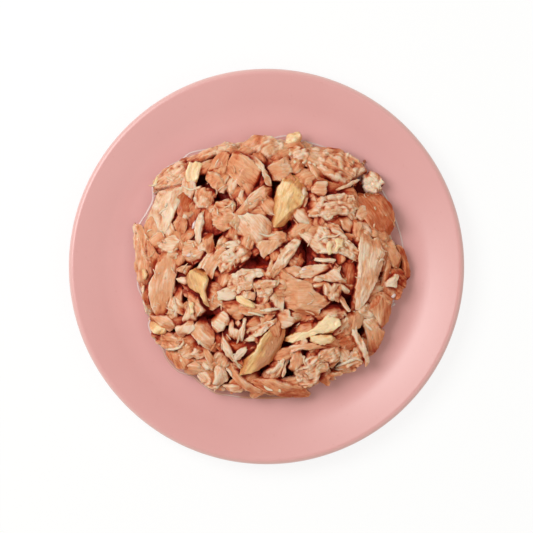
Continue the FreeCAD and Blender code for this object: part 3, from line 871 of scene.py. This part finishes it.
    ("slab", 2, 83, .2, (36, 12.5, 38.5, 12, 40, 9.5, 43, 11, 44.5, 9, 43.5, 2, 41.5, -4, 36.5, -14, 34, -15, 33, -10,
     33.5, 0, 34, 8)),
    ("slab", 2, 82, .45, (-41.3, -1, -40.5, 2, -39, 4.3, -36, 5, -34.3, 4.6, -33.6, 2, -33, 0, -33.6, -2.5, -34.5, -5,
     -34.8, -8, -35.5, -11, -36, -14, -36.7, -18, -38.5, -18.4, -41.5, -17.6, -43, -14.5, -43.9, -10, -43.5, -6,
     -42, -3.5)),
    ("slab", 2, -25, .4, (-43.8, -18, -41, -18.2, -36.5, -18, -34.3, -19.8, -33.6, -21.5, -34.5, -23.1, -35.8, -24.2,
     -37, -23.1, -39.2, -22, -41, -20.8, -43.5, -20.5)),
    ("slab", 2, 50, .0, (-33.8, -22.3, -31, -21, -29, -19.5, -27.3, -20, -26.3, -22, -27.8, -24.2, -29, -24.6,
     -31, -26.1, -33.5, -25.1)),
    ("slab", 2, -45, .3, (-28.3, -25, -26.8, -22, -24.8, -19.4, -23, -19.3, -21.8, -21.5, -19.8, -23.5, -19.2, -25.5,
     -19.6, -28, -18.5, -30.5, -18.8, -32, -20.5, -31.6, -23.5, -30, -26, -27.6)),
    ("leaf", 2, 75, .2, (-13.6, -19.3, -12.2, -19.8, -11.8, -22.8, -10.3, -23.6, -9.2, -22, -8.8, -19.3, -7.6, -19,
     -7.7, -22, -8.2, -25, -9, -27.8, -12, -27.2, -14.8, -26.2, -13.8, -23.5)),
    ("slab", 2, -30, .15, (-20.3, -20.5, -18.5, -18, -15.5, -16.5, -13.8, -18.5, -13.8, -21, -15.8, -23.6, -18, -24.5,
     -19.8, -23.2)),
    ("strip", 2, -58, .3, (-16.3, -25.5, -14.5, -27.5, -12.5, -31, -11.5, -34.3, -9.2, -38, -10.6, -38.8, -13.3, -35,
     -15.7, -31.3, -16.5, -28.5)),
    ("leaf", 2, 50, .02, (-12.3, -33, -10, -30.8, -8, -29.8, -7, -30.7, -8.3, -32.7, -10.3, -35, -12.3, -35)),
    ("strip", 2, 5, .1, (-3.5, -16.6, 0, -15.6, 5, -15.3, 5, -16, 0, -16.8)),
    ("strip", 2, -70, .25, (31.3, -16.5, 34.2, -17.5, 34.3, -21, 34, -24, 35.2, -27, 36.8, -30, 38.2, -33, 39.2, -35.5,
     38.3, -37.6, 37.6, -35, 35.8, -32, 33.5, -28.7, 31.8, -25.5, 31, -21)),
    ("chunk", 2, 25, .3, (10.3, -39, 12, -36, 14, -34, 17, -32.7, 20, -33, 21.5, -36, 20.5, -39.5, 19.5, -42.5,
     17, -44.3, 14, -45.2, 11.3, -44, 11, -41)),
    ("slab", 2, -25, .7, (-5.7, -42.3, -3, -41.6, 2, -41, 7, -42.5, 10, -44, 12.8, -44.8, 14, -46.5, 16.4, -49.6,
     15, -50.3, 10, -50, 5, -48.3, 1, -47, -2, -45.6)),
]

# How far each layer stands proud of the dome, and the percentage of its underside that a flake rests above.
LAYER_PROUD = (-1.2, 0.7, 1.7)
FLAKE_SINK = 50
FLAKE_TILT = 0.12

# The small flakes between the ones that show: a ring of them round the foot, then a spiral all over.
FOOT_COUNT = 44
FOOT_REACH = 45.5
FOOT_LENGTHS = (9, 13)
FOOT_WIDTHS = (5.5, 7.5)
FOOT_DEPTH = -6.5
FOOT_SEED = 2000
FILL_COUNT = 220
FILL_REACH = 46.5
FILL_LENGTHS = (8, 14)
FILL_WIDTHS = (5, 8)
FILL_DEPTH = -0.4
FILL_SEED = 1000
FILL_SINK = 45
FILL_TILT = 0.25
FILL_TONES = (0.25, 0.75)
GAP_RADIUS = 3.0
FILL_KINDS = ("chunk", "leaf", "strip", "slab")
GOLDEN_TURN = math.pi * (3 - math.sqrt(5))

map_size = int(2 * MAP_REACH / CELL)
grid_x, grid_y = np.meshgrid(np.arange(map_size) * CELL - MAP_REACH, np.arange(map_size) * CELL - MAP_REACH)
heights = well_floor + core_height(grid_x.ravel(), grid_y.ravel())

groups = {kind: Pieces() for kind in ("slab", "leaf", "chunk", "strip", "fill")}
random = np.random.default_rng(5)
for number in range(FOOT_COUNT):
    turn = 2 * math.pi * (number + random.uniform(-0.25, 0.25)) / FOOT_COUNT
    heading = math.degrees(turn) + 90 + random.uniform(-20, 20)
    x = FOOT_REACH * math.cos(turn)
    y = FOOT_REACH * math.sin(turn)
    corners = random_corners(x, y, random.uniform(*FOOT_LENGTHS), random.uniform(*FOOT_WIDTHS), heading, random)
    flake = flake_body(FILL_KINDS[number % 4], corners, heading, FOOT_SEED + number, FILL_PITCH)
    lean = random.uniform(-FILL_TILT, FILL_TILT, 2)
    lay(groups["fill"], flake, lean, FILL_SINK, FOOT_DEPTH, random.uniform(*FILL_TONES))
for number in range(FILL_COUNT):
    reach = FILL_REACH * math.sqrt((number + 0.5) / FILL_COUNT)
    x = reach * math.cos(number * GOLDEN_TURN)
    y = reach * math.sin(number * GOLDEN_TURN)
    kind = FILL_KINDS[random.integers(4)]
    heading = random.uniform(0, 180)
    corners = random_corners(x, y, random.uniform(*FILL_LENGTHS), random.uniform(*FILL_WIDTHS), heading, random)
    if min(math.hypot(x - gap[0], y - gap[1]) for gap in GAPS) < GAP_RADIUS:
        continue
    flake = flake_body(kind, corners, heading, FILL_SEED + number, FILL_PITCH)
    lean = random.uniform(-FILL_TILT, FILL_TILT, 2)
    lay(groups["fill"], flake, lean, FILL_SINK, FILL_DEPTH, random.uniform(*FILL_TONES))
for number, (kind, layer, heading, tone, corners) in enumerate(LAID):
    flake = flake_body(kind, corners, heading, number, PITCH)
    lay(groups[kind], flake, random.uniform(-FLAKE_TILT, FLAKE_TILT, 2), FLAKE_SINK, LAYER_PROUD[layer], tone)
flake_tops = heights.copy()

for kind, body in groups.items():
    piece, points = body.gathered("tuna_" + kind)
    heap_pieces.append((piece, points))
    piece.data.materials.append(tuna)
    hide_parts("tuna_heap")
    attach(piece, "root")


# ---------------------------------------------------------------- pale pieces
# Smooth pale yellow pieces of meat, mixed in with the tuna and lying on top of it. Their edges are rounder and their
# grain is finer than the flakes', and one long side is browner than the other.
KINDS["pale"] = (4.8, 0.25, 0.8, 0.70, 0.15, 0.34, 0.6, 0.30, 0.3)
PALE_SINK = 60
PALE_TILT = 0.08
PALE_SEED = 499

# In the order of the CAD nodes: kind, heading, tone and corners.
PALE = [
    ("pale", 65, .65, (10, 34, 7.5, 33.5, 4.5, 29.5, 2.8, 24, 1.8, 18, 3, 15, 6.5, 15.8, 10, 19.8, 12.8, 22.5,
     14.8, 28.5, 13.5, 31.3)),
    ("pale", -70, .8, (-28.3, -2, -26.5, -1, -24, -1.3, -22.6, -3, -21.5, -5, -22, -7, -22.8, -9, -22, -12, -21.3, -15,
     -23.5, -13.5, -25, -10, -28, -8.7, -29, -7, -29.7, -4.3)),
    ("slab", 58, 1.4, (-9.5, -41, -8, -35, -4, -31, -2.5, -27, 3, -21.5, 6, -22.5, 6.5, -25, 5.8, -28, 5, -31.5,
     3.5, -34.5, .5, -36, -4, -39)),
    ("pale", 22, .0, (6, -27.5, 10, -25, 17, -23, 22, -18, 26.5, -19.5, 27.3, -21.5, 24, -24.5, 18, -25, 11, -28)),
    ("pale", 0, .05, (16.5, -25.5, 20, -25.2, 24, -25.3, 25.2, -27, 23.7, -28.7, 21, -29.2, 18, -28.8, 16.3, -27.5)),
    ("pale", 80, .1, (-29.2, 39.2, -24.1, 39, -25.3, 34, -26.3, 31.5, -30, 32, -30.6, 35)),
    ("pale", 30, .0, (7.3, 46.5, 8, 49.5, 10.5, 50, 12, 50.6, 13.5, 48.5, 12.5, 46.5, 10.5, 45.3, 8.5, 44.8)),
    ("pale", 30, .0, (-44, -21.3, -43.3, -20.5, -41.5, -20.3, -40, -21, -39, -22, -37.3, -22.8, -37.6, -24.8,
     -39.5, -25.2, -42, -24.7, -43.6, -23)),
]

# The last two colours are painted shade, for the creases and for the gaps.
pale_meat = flesh("pale_meat", colour(251, 222, 182), colour(233, 188, 130), colour(200, 138, 100),
                  colour(200, 118, 62), colour(150, 60, 20), MOIST)
for number, (kind, heading, tone, corners) in enumerate(PALE, start=1):
    points, faces, fibre, painted_light_and_shade, middle = flake_body(kind, corners, heading, PALE_SEED + number, PITCH)
    points = settle(points, middle, random.uniform(-PALE_TILT, PALE_TILT, 2), PALE_SINK, LAYER_PROUD[2])
    turn = math.radians(heading)
    across = points[:, :2] @ (-math.sin(turn), math.cos(turn))
    across = (across - across.min()) / np.ptp(across)
    body = Pieces()
    body.add(points, faces, fibre, painted_light_and_shade, tone * np.clip(1.2 - across, 0, 1))
    piece, points = body.gathered("pale_meat_%d" % number)
    heap_pieces.append((piece, points))
    piece.data.materials.append(pale_meat)
    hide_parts("pale_piece_%d" % number)
    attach(piece, "root")

# How far each point looks round for what hides its sky, and how its depth and an open side change that: the amount of
# shade painted on it.
HORIZON_TURNS = 12
HORIZON_REACHES = (1.4, 2.4, 3.8, 5.4)
DEPTH_START = 3.2
DEPTH_EASING = 7.0
DEPTH_DARKENS = 0.08
FLANK_EASING = 0.9


def shade_to_paint(points):
    """How much of the sky round each point is hidden by what stands near it, from 0 to 1."""
    hidden = np.zeros(len(points))
    open_side = np.zeros(len(points))
    for i in range(HORIZON_TURNS):
        bearing = 2 * math.pi * i / HORIZON_TURNS
        steepest = np.zeros(len(points))
        for reach in HORIZON_REACHES:
            away = points + (reach * math.cos(bearing), reach * math.sin(bearing), 0)
            slope = (heights[cells(away)] - points[:, 2]) / reach
            steepest = np.maximum(steepest, slope)
        hidden += steepest / np.sqrt(1 + steepest ** 2)
        open_side = np.maximum(open_side, np.clip(1 - slope, 0, 1))
    out = np.minimum(np.hypot(points[:, 0], points[:, 1]) / HEAP_RADIUS, 1)
    depth = well_floor + dome(points[:, 0], points[:, 1]) - points[:, 2]
    flank = out ** 4 * open_side ** 2 * np.clip((depth - 1) / 3, 0, 1)
    below = np.clip(depth - DEPTH_START - DEPTH_EASING * out ** 4, 0, 4)
    return hidden / HORIZON_TURNS + below * DEPTH_DARKENS - FLANK_EASING * flank


# Painted shade on every piece of the heap, from its hidden sky and its depth.
for piece, points in heap_pieces:
    noted(piece, "painted_shade", shade_to_paint(points))


# ---------------------------------------------------------------- threads and crumbs
# Handling pulls fine threads out of the flakes' torn ends and rubs crumbs off them. A few long threads and pale bits
# lie in plain sight, and the rest stick wherever they fell.
THREAD_FLATTENED = 0.6
THREAD_SIDES = 6
THREAD_LIFT = 0.25
BIT_SINK = 70
BIT_SEED = 700
GROUND_CLIFF = 1.6
GROUND_CLEARANCE = 0.8
SCATTER_PALER = 0.75
SHREDS_PER_AREA = 22000
CRUMBS_PER_AREA = 10000

# The long threads: tone, width at the middle, and the line.
THREADS = [
    (.0, 1.1, ((-31.5, -27), (-31, -28.5), (-32.5, -30.3), (-35, -31.2), (-38, -31.2))),
    (.2, 1.2, ((-15.2, -38), (-13.6, -39.6), (-12.9, -41.2))),
    (.2, 1.1, ((-1, -44.8), (.6, -46.2), (2.4, -46.6))),
    (.0, 1.3, ((26, -38), (30, -36), (34, -34.5), (36.5, -36))),
    (.0, 0.9, ((23.7, -36), (24.5, -38), (26.5, -39), (29, -38.6))),
    (.1, 1.2, ((-32, 30.5), (-28.5, 28.6), (-24.8, 29.7), (-22, 31.2))),
    (.3, 1.6, ((8, 43.5), (9.2, 41.5), (11, 38.5))),
    (.1, 1.3, ((36, 38), (37, 39.3), (37.4, 40.5))),
    (.0, 1.4, ((-46, -7), (-46.5, -8.5), (-46.3, -10))),
    (.1, 0.9, ((-7, -17), (-4, -17.6), (-0.8, -18.6))),
    (.1, 1.0, ((42, 1.5), (43.2, 3), (44.5, 2.2), (44.2, 0.4))),
    (.1, 0.9, ((19, 9.5), (22, 11.2), (25.5, 11), (28, 12.5))),
    (.2, 1.0, ((-14, 27.5), (-12.5, 24.5), (-12.8, 21))),
    (.1, 0.9, ((28.5, -16.5), (30, -18.5), (29.6, -20.5))),
    (.2, 0.9, ((-3, 12.5), (0.5, 11.2), (3.5, 12.2))),
]

# The small pale bits: heading and corners.
PALE_BITS = [
    (0, (25, 9.8, 27, 10.3, 29, 9.6, 28.3, 8.2, 28.6, 6.8, 27, 6.6, 26.4, 5.2, 25.2, 6.2, 25.8, 8)),
    (90, (22.3, 8.6, 23.4, 9.3, 24.7, 8, 24.1, 6.5, 24.7, 5, 23.2, 4.4, 22.6, 6.2)),
    (-25, (-11.3, -11.2, -9, -10.8, -5, -13.6, -4.4, -15.4, -7.5, -14.8, -11, -13)),
    (80, (-28.8, -13.5, -27.4, -13.8, -27.2, -17.3, -28.5, -17.6)),
    (90, (-46.3, -1, -45, -1.2, -44.5, -3.2, -45.2, -5, -46.4, -4.6)),
    (60, (-42.8, 30.5, -41.6, 30.2, -40.8, 33, -41.8, 34.2)),
]


def thread(line, width, fine=0.45):
    """A closed tapering thread along a line of (x, y, z) points, a little flatter than round."""
    line = np.asarray(line, float)
    travelled = np.concatenate([[0], np.cumsum(np.linalg.norm(np.diff(line, axis=0), axis=1))])
    wanted = np.linspace(0, travelled[-1], max(int(travelled[-1] / fine), 6))
    centre = np.stack([np.interp(wanted, travelled, line[:, axis]) for axis in range(3)], axis=1)
    for _ in range(3):
        centre[1:-1] = (centre[:-2] + 2 * centre[1:-1] + centre[2:]) / 4
    ahead = np.gradient(centre, axis=0)
    side = np.cross(ahead, (0, 0, 1))
    side /= np.linalg.norm(side, axis=1)[:, None]
    above = np.cross(side, ahead)
    above /= np.linalg.norm(above, axis=1)[:, None]
    share = np.linspace(0, 1, len(centre))
    reach = width / 2 * (0.15 + 0.85 * np.sin(math.pi * share) ** 0.6)
    rings = []
    for i in range(THREAD_SIDES):
        angle = 2 * math.pi * i / THREAD_SIDES
        swing = math.cos(angle) * side + THREAD_FLATTENED * math.sin(angle) * above
        rings.append(centre + swing * reach[:, None])
    points = np.concatenate([np.stack(rings, axis=1).reshape(-1, 3), centre[:1], centre[-1:]])
    start = len(points) - 2
    faces = []
    for i in range(THREAD_SIDES):
        j = (i + 1) % THREAD_SIDES
        for ring in range(0, start - THREAD_SIDES, THREAD_SIDES):
            faces.append((ring + i, ring + j, ring + THREAD_SIDES + j, ring + THREAD_SIDES + i))
        faces.append((start, j, i))
        faces.append((start + 1, start - THREAD_SIDES + i, start - THREAD_SIDES + j))
    return points, faces


def resting(line):
    """A line in plan laid on what is under it."""
    line = np.asarray(line, float)
    share = np.linspace(0, len(line) - 1, 5 * len(line))
    line = np.stack([np.interp(share, range(len(line)), line[:, axis]) for axis in range(2)], axis=1)
    height = heights[cells(line)] + THREAD_LIFT
    for _ in range(2):
        height = np.maximum(height, (np.roll(height, 1) + height + np.roll(height, -1)) / 3)
    return np.column_stack([line, height])


threads = Pieces()
for tone, width, line in THREADS:
    points, faces = thread(resting(line), width)
    threads.add(points, faces, points, np.full(len(points), 0.8), tone)
pale_bits = Pieces()
for number, (heading, corners) in enumerate(PALE_BITS):
    flake = flake_body("pale", corners, heading, BIT_SEED + number, PITCH)
    lean = random.uniform(-PALE_TILT, PALE_TILT, 2)
    lay(pale_bits, flake, lean, BIT_SINK, LAYER_PROUD[2], random.uniform(0, 0.4))

# What shows of the flakes from above, as a surface for the scatter to follow.
ground_x, ground_y = np.meshgrid(np.arange(map_size - 1), np.arange(map_size - 1))
first = (ground_y * map_size + ground_x).ravel()
around = np.stack([first, first + 1, first + map_size + 1, first + map_size], axis=1)
level = flake_tops[around]
kept = around[(level.min(1) > well_floor + GROUND_CLEARANCE) & (np.ptp(level, axis=1) < GROUND_CLIFF)]
used, renamed = np.unique(kept, return_inverse=True)
ground_points = np.stack([(used % map_size) * CELL - MAP_REACH, used // map_size * CELL - MAP_REACH, flake_tops[used]],
                         axis=1)
ground = mesh_object("ground", ground_points, renamed.reshape(-1, 4).tolist())


def scatter_tree():
    """Geometry Nodes that stick small shapes to a surface, each turned and sized at random."""
    tree = bpy.data.node_groups.new("stuck_bits", "GeometryNodeTree")
    face = tree.interface
    for name, kind in (("Geometry", "Geometry"), ("Shapes", "Collection"), ("Per Area", "Float"),
                       ("Smallest", "Float"), ("Largest", "Float"), ("Seed", "Int"), ("Material", "Material")):
        face.new_socket(name, in_out="INPUT", socket_type="NodeSocket" + kind)
    face.new_socket("Geometry", in_out="OUTPUT", socket_type="NodeSocketGeometry")

    given = add_node(tree, "NodeGroupInput", {}, {}).outputs
    spread = add_node(tree, "GeometryNodeDistributePointsOnFaces", {"distribute_method": "RANDOM"}, {
        "Mesh": given["Geometry"], "Density": given["Per Area"], "Seed": given["Seed"]})
    shapes = add_node(tree, "GeometryNodeCollectionInfo", {}, {
        "Collection": given["Shapes"], "Separate Children": True, "Reset Children": True})
    size = add_node(tree, "FunctionNodeRandomValue", {"data_type": "FLOAT"}, {
        2: given["Smallest"], 3: given["Largest"], "Seed": given["Seed"]})
    placed = add_node(tree, "GeometryNodeInstanceOnPoints", {}, {
        "Points": spread.outputs["Points"], "Rotation": spread.outputs["Rotation"],
        "Instance": shapes.outputs[0], "Pick Instance": True, "Scale": size.outputs[1]})
    turn = add_node(tree, "FunctionNodeRandomValue", {"data_type": "FLOAT_VECTOR"}, {
        0: (-0.2, -0.2, 0), 1: (0.2, 0.2, 2 * math.pi)})
    about = add_node(tree, "GeometryNodeRotateInstances", {}, {
        "Instances": placed.outputs[0], "Rotation": turn.outputs[0]})
    tone = add_node(tree, "FunctionNodeRandomValue", {"data_type": "FLOAT"}, {})
    toned = add_node(tree, "GeometryNodeStoreNamedAttribute", {"data_type": "FLOAT", "domain": "INSTANCE"}, {
        "Geometry": about.outputs[0], "Name": "tone", "Value": tone.outputs[1]})
    real = add_node(tree, "GeometryNodeRealizeInstances", {}, {0: toned.outputs[0]})
    painted = add_node(tree, "GeometryNodeSetMaterial", {}, {
        "Geometry": real.outputs[0], "Material": given["Material"]})
    add_node(tree, "NodeGroupOutput", {}, {"Geometry": painted.outputs[0]})
    return tree


def scattered(name, tree, shapes, per_area, smallest, largest, seed, material):
    """A plain mesh of small shapes stuck over the ground, with its modifier gone."""
    modifier = ground.modifiers.new(name, "NODES")
    modifier.node_group = tree
    given = {"Shapes": shapes, "Per Area": per_area, "Smallest": smallest, "Largest": largest, "Seed": seed,
             "Material": material}
    for item in tree.interface.items_tree:
        if item.in_out == "INPUT" and item.name in given:
            modifier[item.identifier] = given[item.name]
    ground.update_tag()
    evaluated = ground.evaluated_get(bpy.context.evaluated_depsgraph_get())
    mesh = bpy.data.meshes.new_from_object(evaluated)
    ground.modifiers.remove(modifier)
    made = bpy.data.objects.new(name, mesh)
    bpy.context.scene.collection.objects.link(made)
    places = np.empty(3 * len(mesh.vertices), np.float32)
    mesh.vertices.foreach_get("co", places)
    places = places.reshape(-1, 3) / MM
    tones = np.empty(len(mesh.vertices), np.float32)
    mesh.attributes["tone"].data.foreach_get("value", tones)
    mesh.attributes.remove(mesh.attributes["tone"])
    mesh.polygons.foreach_set("use_smooth", [True] * len(mesh.polygons))
    marked(made, np.column_stack([places, np.zeros(len(places)), tones * SCATTER_PALER]))
    noted(made, "painted_shade", shade_to_paint(places))
    return made


random = np.random.default_rng(8)
shred_shapes = bpy.data.collections.new("shred_shapes")
for number in range(5):
    along = np.linspace(-1, 1, 7)
    bow, lift, swing = random.uniform(-0.8, 0.8), random.uniform(0.1, 0.6), random.uniform(-0.5, 0.5)
    line = np.stack([1.7 * along, bow * along ** 2 + swing * along ** 3, 0.1 + lift * along ** 4], axis=1)
    points, faces = thread(line, random.uniform(0.45, 0.75), fine=0.5)
    shape = mesh_object("shred_%d" % number, points, faces)
    bpy.context.scene.collection.objects.unlink(shape)
    shred_shapes.objects.link(shape)
crumb_shapes = bpy.data.collections.new("crumb_shapes")
for number in range(5):
    spots = random.normal(size=(14, 3)) * (0.5, 0.38, 0.3)
    shape = mesh_object("crumb_%d" % number, spots, [])
    solid = bmesh.new()
    solid.from_mesh(shape.data)
    loose = bmesh.ops.convex_hull(solid, input=solid.verts)["geom_interior"]
    bmesh.ops.delete(solid, geom=[part for part in loose if isinstance(part, bmesh.types.BMVert)], context="VERTS")
    solid.to_mesh(shape.data)
    solid.free()
    bpy.context.scene.collection.objects.unlink(shape)
    crumb_shapes.objects.link(shape)
tree = scatter_tree()
shreds = scattered("tuna_shreds", tree, shred_shapes, SHREDS_PER_AREA, 0.5, 1.3, 3, tuna)
crumbs = scattered("tuna_crumbs", tree, crumb_shapes, CRUMBS_PER_AREA, 0.4, 1.1, 4, tuna)
for shape in [ground, *shred_shapes.objects, *crumb_shapes.objects]:
    bpy.data.objects.remove(shape)
for used_up in (shred_shapes, crumb_shapes):
    bpy.data.collections.remove(used_up)
long_threads, points = threads.gathered("tuna_threads")
noted(long_threads, "painted_shade", shade_to_paint(points))
long_threads.data.materials.append(tuna)
bits, points = pale_bits.gathered("pale_bits")
noted(bits, "painted_shade", shade_to_paint(points))
bits.data.materials.append(pale_meat)
for piece in (shreds, crumbs, long_threads):
    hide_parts("tuna_heap")
    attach(piece, "root")
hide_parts("tuna_heap")
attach(bits, "root")


# ---------------------------------------------------------------- juice
# A little clear broth has run out of the fish and stands round the heap as a thin film. Its edge is a low bank that
# catches the light, and there it is painted paler and less clear as a painted highlight. Close to the flakes it is
# tinted by their oil.
JUICE_DEPTH = 0.38
JUICE_BANK = ((0, -0.05), (0.25, 0.14), (0.5, 0.26), (0.85, 0.35), (1.4, JUICE_DEPTH), (4.0, JUICE_DEPTH))
JUICE_EDGE = [
    (12, 48.5), (7.8, 50), (5, 49.8), (2, 49.2), (-2, 49.6), (-5.5, 49), (-9.5, 46.6), (-14, 47), (-20, 45.6),
    (-23, 44.9), (-29, 43.6), (-33, 40.7), (-38, 38), (-42, 34.2), (-43.7, 30), (-43.6, 25.5), (-45.8, 21),
    (-48.6, 16.5), (-50.5, 12), (-50.2, 7.5), (-49.3, 2.5), (-49.2, -2), (-49.2, -8), (-46.4, -14),
    (-44.8, -19.5), (-45.2, -22.5), (-43.5, -27), (-40, -31.4), (-38.2, -35.5), (-34, -40), (-28.5, -42),
    (-25, -45), (-19.5, -48.4), (-14, -49.4), (-8, -50.2), (2, -50.4), (11, -49.6), (18, -45.5), (27, -40.5),
    (35.5, -36), (41.5, -28), (46, -19.5), (50, -9), (52, 0), (52, 9), (49, 19), (45, 28), (38, 37), (30, 42.5),
    (20, 46.5),
]


def smooth_loop(corners, pitch):
    """Evenly spaced points on a smooth closed curve through its corners."""
    here = np.asarray(corners, float)
    before, after, beyond = (np.roll(here, step, axis=0) for step in (1, -1, -2))
    part = np.linspace(0, 1, 10, endpoint=False)[:, None, None]
    curve = here + part * (after - before) / 2
    curve = curve + part ** 2 * (2 * before - 5 * here + 4 * after - beyond) / 2
    curve = curve + part ** 3 * (3 * here - before - 3 * after + beyond) / 2
    return evenly(curve.transpose(1, 0, 2).reshape(-1, 2), pitch)


shore = smooth_loop(JUICE_EDGE, 0.6)
count = len(shore)
inward = -outwards(shore)
rings = [np.column_stack([shore + inward * inset, np.full(count, well_floor + rise)]) for inset, rise in JUICE_BANK]
rings.append(np.array([(0, 0, well_floor + JUICE_DEPTH), (0, 0, well_floor - 0.05)]))
juice_points = np.concatenate(rings)
juice_faces = []
last = len(JUICE_BANK) * count
for i in range(count):
    j = (i + 1) % count
    for ring in range(0, last - count, count):
        juice_faces.append((ring + i, ring + j, ring + count + j, ring + count + i))
    juice_faces.append((last - count + i, last - count + j, last))
    juice_faces.append((last + 1, j, i))
juice = mesh_object("broth_film", juice_points, juice_faces)
noted(juice, "painted_highlight", np.arange(len(juice_points)) < 3 * count)

broth = Paint("clear_broth", {"Roughness": 0.1, "IOR": 1.36})
place = broth.position()
split = broth.node("ShaderNodeSeparateXYZ", {}, {0: place}).outputs
near_side = broth.ramp(Value(broth, split[1]) * -1 - Value(broth, split[0]) * 0.25, 0.018, 0.034)
oil = near_side * broth.ramp(broth.noise(place, 60.0, detail=2.0), 0.3, 0.6)
# Painted highlight: the bank is painted a paler near-white and made less clear than the rest of the film.
clear = broth.mix(colour(238, 196, 188), colour(244, 224, 222), Value(broth, attribute(broth, "painted_highlight")))
broth.coat("Base Color", broth.mix(clear, colour(196, 120, 72), oil * 0.85))
strength = 0.16 + Value(broth, attribute(broth, "painted_highlight")) * 0.55 + oil * 0.3
broth.shared(strength, broth.node("ShaderNodeBsdfTransparent", {}, {}), broth.shader)
juice.data.materials.append(broth.material)
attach(juice, "root")

# Beads of broth left in hollows between the flakes and at the heap's foot, painted pale all over as painted
# highlights: the middle, half the length and half the width, and the heading.
BEADS = [(-28.5, 26.8, 1.5, 0.9, 60), (-26.9, 15.6, 2.1, 0.8, 78), (-28.5, 4.5, 1.4, 0.8, 25), (14, -1, 1.3, 0.6, 10),
         (47.8, -11.0, 1.1, 0.8, 50), (48.0, -14.4, 1.2, 0.9, 15)]
BEAD = ((0, 0.55), (0.45, 0.5), (0.8, 0.32), (1, 0), (0.8, -0.3), (0, -0.3))
unit, unit_faces = turned(BEAD, 18)
unit = np.array(unit)
bead_points = []
bead_faces = []
for number, (x, y, half_length, half_width, heading) in enumerate(BEADS):
    turn = math.radians(heading)
    uneven = unit * (1 + 0.35 * lumps(unit + 10 * number, 0.9, seed=61))[:, None] * (half_length, half_width, 1)
    placed = uneven @ np.array([(math.cos(turn), math.sin(turn), 0), (-math.sin(turn), math.cos(turn), 0), (0, 0, 1)])
    placed[:, :2] += (x, y)
    placed[:, 2] += np.median(heights[cells(placed)])
    bead_faces += [tuple(corner + number * len(unit) for corner in face) for face in unit_faces]
    bead_points.append(placed)
beads = mesh_object("broth_beads", np.concatenate(bead_points), bead_faces)
noted(beads, "painted_highlight", np.ones(len(beads.data.vertices)))
beads.data.materials.append(broth.material)
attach(beads, "root")


# ---------------------------------------------------------------- table and room
# A plain white table. To the eye it is bright white, with a trace of the plate's shadow.
TABLE_REACH = 4000
TABLE_CLEARANCE = 0.01
table_corners = [(TABLE_REACH * x, TABLE_REACH * y, -TABLE_CLEARANCE) for x, y in ((-1, -1), (1, -1), (1, 1), (-1, 1))]
table = mesh_object("table", table_corners, [(0, 1, 2, 3)])
tabletop = Paint("white_table", {"Base Color": colour(250, 250, 250), "Roughness": 0.8})
rays = tabletop.node("ShaderNodeLightPath", {}, {})
seen = Value(tabletop, rays.outputs["Is Camera Ray"]) + Value(tabletop, rays.outputs["Is Glossy Ray"])
seen = (seen + Value(tabletop, rays.outputs["Is Transmission Ray"])).clamped()
bright = tabletop.node("ShaderNodeEmission", {}, {"Color": (1, 1, 1, 1), "Strength": 1.0})
tabletop.shared(seen * 0.86, tabletop.shader, bright)
table.data.materials.append(tabletop.material)

room = bpy.data.worlds.new("room")
bpy.context.scene.world = room
room.use_nodes = True
tree = room.node_tree
soft = tree.nodes["Background"]
soft.inputs["Color"].default_value = (1.0, 0.965, 0.8, 1)
soft.inputs["Strength"].default_value = 0.44
white = add_node(tree, "ShaderNodeBackground", {}, {"Strength": 1.0})
path = add_node(tree, "ShaderNodeLightPath", {}, {})
choose = add_node(tree, "ShaderNodeMixShader", {}, {
    0: path.outputs["Is Camera Ray"], 1: soft.outputs[0], 2: white.outputs[0]})
plug(tree, tree.nodes["World Output"].inputs["Surface"], choose.outputs[0])
